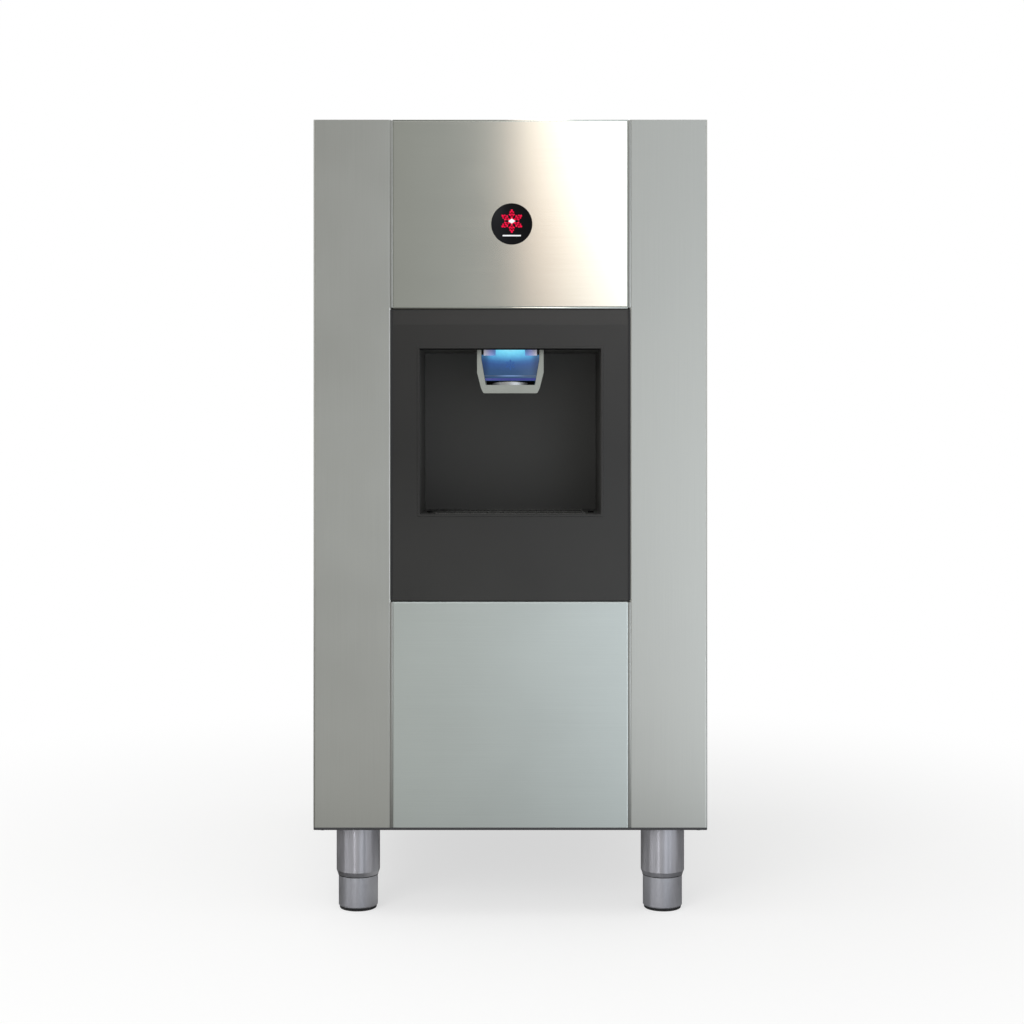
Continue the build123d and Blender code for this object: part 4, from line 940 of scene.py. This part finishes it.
close_piece(lip, "chute", steel_painted_highlight_and_shade, 0.3, replaces=["chute_lip"])

# Painted shade: a black plate behind the lip stands in for the dark slot.
deselect()
bpy.ops.mesh.primitive_plane_add(size=1, rotation=UPRIGHT,
                                 location=(0, lip_high.y + 0.4 * MM, (lip_low.z + lip_high.z) / 2))
bpy.context.object.scale = (68 * MM, 18 * MM, 1)
shade = settle("slot_shade")
open_whole(shade)
bpy.ops.mesh.subdivide(number_cuts=3)
apply(shade, "SOLIDIFY", thickness=0.5 * MM)
close_piece(shade, "chute", black_and_painted_shade, 0)

# %% [markdown]
# ## Tube lamps for the legs
# The round legs show two thin bright upright lines, which are the room's tube lamps. Two narrow upright
# cards give them. A line sits on a leg where the leg's surface points halfway between the camera and the
# card, so the cards stand where those directions from both legs cross. A wide third card gives the tubes the
# soft shades between the lines. Light linking keeps all three off the flat panels.

# %% Cards for the legs
LEG_ROW_Y = -0.34
legs_lit = group("lit_by_strip_cards", "leg_sleeves", *feet)
for name, place, width, strength in (("strip_card_left", (-0.83, -2.62), 0.14, 5.0),
                                     ("strip_card_right", (1.29, -1.73), 0.08, 3.4)):
    facing = math.atan2(place[1] - LEG_ROW_Y, place[0]) + math.pi / 2
    strip = new_card(name, (width, 2.0), (*place, 1.0), (math.pi / 2, 0, facing))
    light_up(strip, new_material(name + "_paper")[0], linear("f8faff"), strength)
    strip.light_linking.receiver_collection = legs_lit

soft_card = new_card("soft_card_for_legs", (9.0, 2.0), (-1.9, -2.35, 1.0), UPRIGHT)
material, tree, shader = new_material("soft_card_for_legs_paper")
fall = ramp(tree, where(tree, "X"), ((-6.4, 1), (-4.8, 0.95), (-3.3, 0.8), (-1.5, 0.84), (-0.6, 0.62),
                                     (0.3, 0.36), (1.1, 0), (2.6, 0)))
light_up(soft_card, material, linear("f8faff"), product(tree, fall, 1.6))
soft_card.light_linking.receiver_collection = legs_lit

# %% [markdown]
# ## Edges that show as thin dark lines
# Under the cabinet's front runs a dark grey strip along the sheet's folded edge. It is painted shade,
# standing in for the dark line along the fold. It is a block with a drawn-in edge.

# %% Edging
panel_low, panel_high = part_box("front_panel_lower")
body_low, body_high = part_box("side_panel_left")[0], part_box("side_panel_right")[1]
# Painted shade: a dark strip under the front's bottom edge.
painted_shade_edge = new_block("bottom_edge_painted_shade", (body_low.x + 1.0 * MM, body_low.y - 0.4 * MM, panel_low.z - 0.2 * MM),
                   (body_high.x - 1.0 * MM, panel_low.y + 3.5 * MM, panel_low.z + 3.4 * MM))
choose_edges(painted_shade_edge, lambda at: at.z < panel_low.z and at.y > panel_low.y + 2 * MM)
move(y=-0.8 * MM)
painted_shade_grey = moulded("dark_grey_painted_shade", "38383a", 0.7, 0.9, 0.05)
close_piece(painted_shade_edge, "cabinet", painted_shade_grey, 0.35)

# %% [markdown]
# The upright seams beside the panels are closed by narrow strips that lie in the gap: darker steel ones
# beside the steel panels, a black rubber one beside the black panel. They are painted shade, standing in for
# the soft shade in the seams. The upper panel's top and bottom edges are folded to a thin bead. All are
# blocks with rounded edges, and the beads are lit like the panel that they belong to.

# %% Seam strips and beads
flange_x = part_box("side_panel_right")[0].x
seam_x = (panel_high.x + flange_x) / 2
# Painted shade: darker steel and black rubber strips fill the seams.
seam_shade_steel = satin_metal("stainless_304_seam_painted_shade", "a3a4a0", 0.36, 3.0)
steel_shade_strip = (flange_x, 2.2 * MM, -0.06 * MM, "satin_stainless", seam_shade_steel)
black_shade_strip = (seam_x, 1.6 * MM, 0.15 * MM, "black_rubber", rubber)
for kind, node, strip in (("lower", "front_panel_lower", steel_shade_strip),
                          ("middle", "dispense_panel", black_shade_strip),
                          ("upper", "front_panel_upper", steel_shade_strip)):
    low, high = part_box(node)
    centre_x, half, back, slot, material = strip
    strips = [new_block("strip", (x - half, panel_low.y + back, low.z + 1 * MM),
                        (x + half, panel_low.y + 2.4 * MM, high.z - 1 * MM)) for x in (-centre_x, centre_x)]
    close_piece(join(strips, "seam_strips_" + kind), "cabinet", material, 0.3)

low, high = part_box("front_panel_upper")
bead_x, bead_y = high.x - 1.6 * MM, low.y - 0.06 * MM
beads = [new_block("bead", (-bead_x, bead_y, z), (bead_x, bead_y + 1.56 * MM, z + 1.7 * MM))
         for z in (low.z - 0.1 * MM, high.z - 1.75 * MM)]
beads = close_piece(join(beads, "panel_beads_upper"), "cabinet", steel_upper, 0.2)
lit_nodes.objects.link(beads)

# %% [markdown]
# At the top of the alcove a small black strip hangs down. It is painted shade, standing in for the shade
# under the opening's top edge. It is a block with a drawn-in edge.

# %% Shade strip at the alcove's top
LINER_FLANGE = 14 * MM
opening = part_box("alcove_liner")[1] - Vector((LINER_FLANGE, 0, LINER_FLANGE))
face_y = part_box("dispense_panel")[0].y + 0.6 * MM
# Painted shade: a black strip under the opening's top edge.
top_shade_strip = new_block("alcove_top_shade_strip", (-opening.x, face_y - 0.3 * MM, opening.z - 1.9 * MM),
                 (opening.x, face_y + 1.6 * MM, opening.z + 0.2 * MM))
choose_edges(top_shade_strip, lambda at: at.z < opening.z - 1 * MM and at.y > face_y + 1 * MM)
move(y=-0.5 * MM)
close_piece(top_shade_strip, "cabinet", black_and_painted_shade, 0.3)

# %% [markdown]
# ## Drip grille frame
# The slotted grille in the alcove's floor has a raised frame with one bar across its middle, which keeps a
# bucket off the slots. Seen almost edge-on, only the fronts of these bars show, as thin light lines over the
# dark slots. Each bar is a block, and one bevel softens them all. Two rubber buffers beside it hold it in
# place.

# %% Grille frame and buffers
BAR_WIDTH = 3.0 * MM
BAR_RISE = 1.4 * MM
grille_low, grille_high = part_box("drip_grille")
top = grille_high.z
middle_y = (grille_low.y + grille_high.y) / 2
bars = [new_block("bar", (grille_low.x, y, top), (grille_high.x, y + BAR_WIDTH, top + BAR_RISE))
        for y in (grille_low.y, middle_y - BAR_WIDTH / 2, grille_high.y - BAR_WIDTH)]
for x in (grille_low.x, grille_high.x - BAR_WIDTH):
    bars.append(new_block("bar", (x, grille_low.y + 0.1 * MM, top),
                          (x + BAR_WIDTH, grille_high.y - 0.1 * MM, top + BAR_RISE - 0.05 * MM)))
# The bars use the liner's black, which is painted lighter.
close_piece(join(bars, "grille_frame"), "grille", black_painted_lighter, 0.4)


def new_cylinder(name, centre, radius, depth, turn=(0, 0, 0), vertices=48, top_radius=None):
    """A cylinder or cone primitive, centred on a point and upright unless it is turned."""
    deselect()
    bpy.ops.mesh.primitive_cone_add(vertices=vertices, radius1=radius, depth=depth, location=centre,
                                    radius2=top_radius or radius, rotation=turn)
    return settle(name)


tray_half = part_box("drip_tray")[1].x
buffers = [new_cylinder("buffer", (x, middle_y - 19.2 * MM, top + 0.9 * MM), 4.5 * MM, 1.8 * MM, vertices=24,
                        top_radius=3.8 * MM) for x in (-tray_half, tray_half)]
close_piece(join(buffers, "grille_buffers"), "cabinet", black_and_painted_shade, 0.4)

# %% [markdown]
# ## Shade rings on the legs
# Where each foot slides out of its sleeve, a thin black ring is painted shade: it stands in for the shade in
# the gap, a fine dark line. Each is a torus, pressed a little flat, round a foot just under its sleeve.

# %% Shade rings
sleeve_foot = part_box("leg_sleeves")[0].z
shade_rings = []
for foot in feet:
    low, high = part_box(foot)
    place = ((low.x + high.x) / 2, (low.y + high.y) / 2, sleeve_foot - 0.6 * MM)
    deselect()
    bpy.ops.mesh.primitive_torus_add(major_radius=(high.x - low.x) / 2, minor_radius=0.8 * MM,
                                     major_segments=64, minor_segments=8, location=place)
    bpy.context.object.scale.z = 0.8
    shade_rings.append(settle("ring"))
# Painted shade: black rings where the feet leave the sleeves.
close_piece(join(shade_rings, "leg_gap_shade_rings"), "cabinet", rubber, 0)

# %% [markdown]
# ## Pan head screws
# The cabinet is closed with pan head screws. A head is a low cylinder with a rounded top, and a cross is
# sunk into it with a Boolean, the tool for one shape minus another. One screw is modelled at the origin and
# copied to six places under the base and six in the back. A smaller one holds the hinges, four on the deck
# and four on the lid.

# %% One screw
def new_screw(name, radius, height):
    """A pan head with its shank, standing on the XY plane with the head up."""
    screw = new_cylinder(name, (0, 0, height / 2), radius, height, vertices=40)
    faces_to(screw, 2, -1)
    inset(0.6 * radius)
    extrude(z=-0.6 * radius)
    choose_edges(screw, lambda at: at.z > height - 0.1 * MM)
    bpy.ops.mesh.bevel(offset=0.46 * height, segments=4)
    for x, y in ((0.09 * radius, 0.46 * radius), (0.46 * radius, 0.09 * radius)):
        cutter = new_block("cutter", (-x, -y, 0.54 * height), (x, y, height + 1 * MM))
        apply(screw, "BOOLEAN", object=cutter, operation="DIFFERENCE", solver="EXACT")
        bpy.data.objects.remove(cutter)
    return screw


def set_screws(pattern, name, places, turn, body="cabinet", replaces=()):
    """Copies of a screw, turned about X and moved to their places, as one piece."""
    copies = [turn_about(twin(pattern, "copy"), turn, (0, 0, 0), "X", place) for place in places]
    return close_piece(join(copies, name), body, zinc_bright, 0, replaces=replaces)


print("Screw helpers ready")

# %% Screws in their places
radius, height = 5.0 * MM, 2.4 * MM
pattern = new_screw("screw", radius, height)
low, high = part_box("bottom_screws")
places = [(x, y, low.z + height) for x in (low.x + radius, high.x - radius)
          for y in (low.y + radius, 0, high.y - radius)]
set_screws(pattern, "screws_under_base", places, 180, replaces=["bottom_screws"])
low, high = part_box("rear_screws")
places = [(x, high.y - height, z) for x in (low.x + radius, 0, high.x - radius)
          for z in (low.z + radius, high.z - radius)]
set_screws(pattern, "screws_in_back", places, 90, replaces=["rear_screws"])
bpy.data.objects.remove(pattern)

small = new_screw("small_screw", 2.6 * MM, 1.1 * MM)
leaf_high, strap_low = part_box("lid_hinge_leaves")[1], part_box("lid_hinge_straps")[0]
xs = [side * (leaf_high.x - inward * MM) for side in (-1, 1) for inward in (45, 15)]
places = [(x, leaf_high.y - 7 * MM, strap_low.z - 0.8 * MM) for x in xs]
set_screws(small, "hinge_screws_deck", places, 0)
places = [(x, strap_low.y + 1.5 * MM, strap_low.z + 10.2 * MM) for x in xs]
set_screws(small, "hinge_screws_lid", places, 90, "lid")
bpy.data.objects.remove(small)

# %% [markdown]
# ## Louvres
# Nine louvres in the back let the motor's warmth out. Each is pressed out of the sheet as a hood that opens
# downwards, so that nothing falls in. A hood is a block whose upper outer edge is drawn back to the sheet.
# Its underside is inset and pushed up, and its black is painted shade that stands in for the opening.

# %% Louvre hoods
LOUVRES = 9
LOUVRE_PITCH = 16 * MM
LOUVRE_FOOT = 520 * MM
LOUVRE_HALF = 94 * MM
panel_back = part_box("rear_panel")[1].y
hoods = []
for row in range(LOUVRES):
    slot_z = LOUVRE_FOOT + row * LOUVRE_PITCH
    hood = new_block("hood", (-LOUVRE_HALF, panel_back - 0.3 * MM, slot_z - 1.5 * MM),
                     (LOUVRE_HALF, panel_back + 5.5 * MM, slot_z + 8.5 * MM))
    choose_edges(hood, lambda at: at.z > slot_z + 8 * MM and at.y > panel_back + 5 * MM)
    move(y=-5.0 * MM)
    choose(hood, "edges", lambda edge: abs(edge.verts[0].co.x - edge.verts[1].co.x) < 0.1 * MM
           and max(vert.co.y for vert in edge.verts) > panel_back + 4 * MM)
    bpy.ops.mesh.bevel(offset=2.0 * MM, segments=3)
    faces_to(hood, 2, -1)
    inset(0.9 * MM, z=3.0 * MM)
    hood.data.materials.append(galvanised)
    hood.data.materials.append(black_and_painted_shade)
    # Painted shade: the hollow under each hood is black.
    paint(hood, 1)
    hoods.append(hood)
close_piece(join(hoods, "louvre_hoods"), "cabinet", galvanised, 0)

# %% [markdown]
# ## Cable gland and drain spigot
# The gland for the cord has a hexagonal foot for a spanner and a domed nut that grips the cord. The drain's
# spigot has two barbs that hold a hose. Both are turned parts: cylinders and cones with insets and bevels.

# %% Gland
BACKWARD = (-math.pi / 2, 0, 0)
FOOT_DEPTH = 7 * MM
gland_low, gland_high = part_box("cable_gland")
gx, gz = (gland_low.x + gland_high.x) / 2, (gland_low.z + gland_high.z) / 2
foot = new_cylinder("foot", (gx, panel_back + FOOT_DEPTH / 2, gz), 13 * MM, FOOT_DEPTH, BACKWARD, vertices=6)
thread = new_cylinder("thread", (gx, (gland_low.y + panel_back) / 2, gz), 10 * MM, panel_back - gland_low.y,
                      BACKWARD)
nut_y = panel_back + FOOT_DEPTH
nut = new_cylinder("nut", (gx, (nut_y + gland_high.y) / 2, gz), 11.2 * MM, gland_high.y - nut_y, BACKWARD)
choose_edges(nut, lambda at: at.y > gland_high.y - 0.1 * MM)
bpy.ops.mesh.bevel(offset=3.5 * MM, segments=5)
choose(nut, "faces", lambda face: face.normal.y > 0.99 and len(face.verts) > 8)
inset(2.6 * MM)
extrude(y=-11 * MM)
gland = join([foot, thread, nut], "gland_nut_and_foot")
close_piece(gland, "cabinet", black_panel, 0.4, replaces=["cable_gland"])

# %% Barbs
SPIGOT_Z = 200 * MM
spigot_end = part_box("drain_manifold")[1].y
barbs = [new_cylinder("barb", (0, spigot_end - back * MM, SPIGOT_Z), 11.2 * MM, 4 * MM, BACKWARD,
                      top_radius=10.05 * MM) for back in (5.0, 11.5)]
barbs = join(barbs, "spigot_barbs")
choose(barbs, "faces", lambda face: len(face.verts) > 8)
inset(2.2 * MM)
bpy.ops.mesh.delete(type="FACE")
close_piece(barbs, "cabinet", pipe_grey, 0)

# %% [markdown]
# ## Bin lid
# The lid's top is pressed in a little, so that it stays stiff and a spill stays on it. A copy of the CAD lid
# gets its top face inset twice and lowered, which makes a soft step all round.

# %% Lid
lid = copy_of("bin_lid", "lid_panel")
tops = choose(lid, "faces", lambda face: face.normal.z > 0.9999 and face.calc_area() > 0.05)
inset(14 * MM)
inset(3 * MM, z=-1.6 * MM)
print("Top faces of the lid:", tops)
close_piece(lid, "lid", white_hdpe, 0, replaces=["bin_lid"])
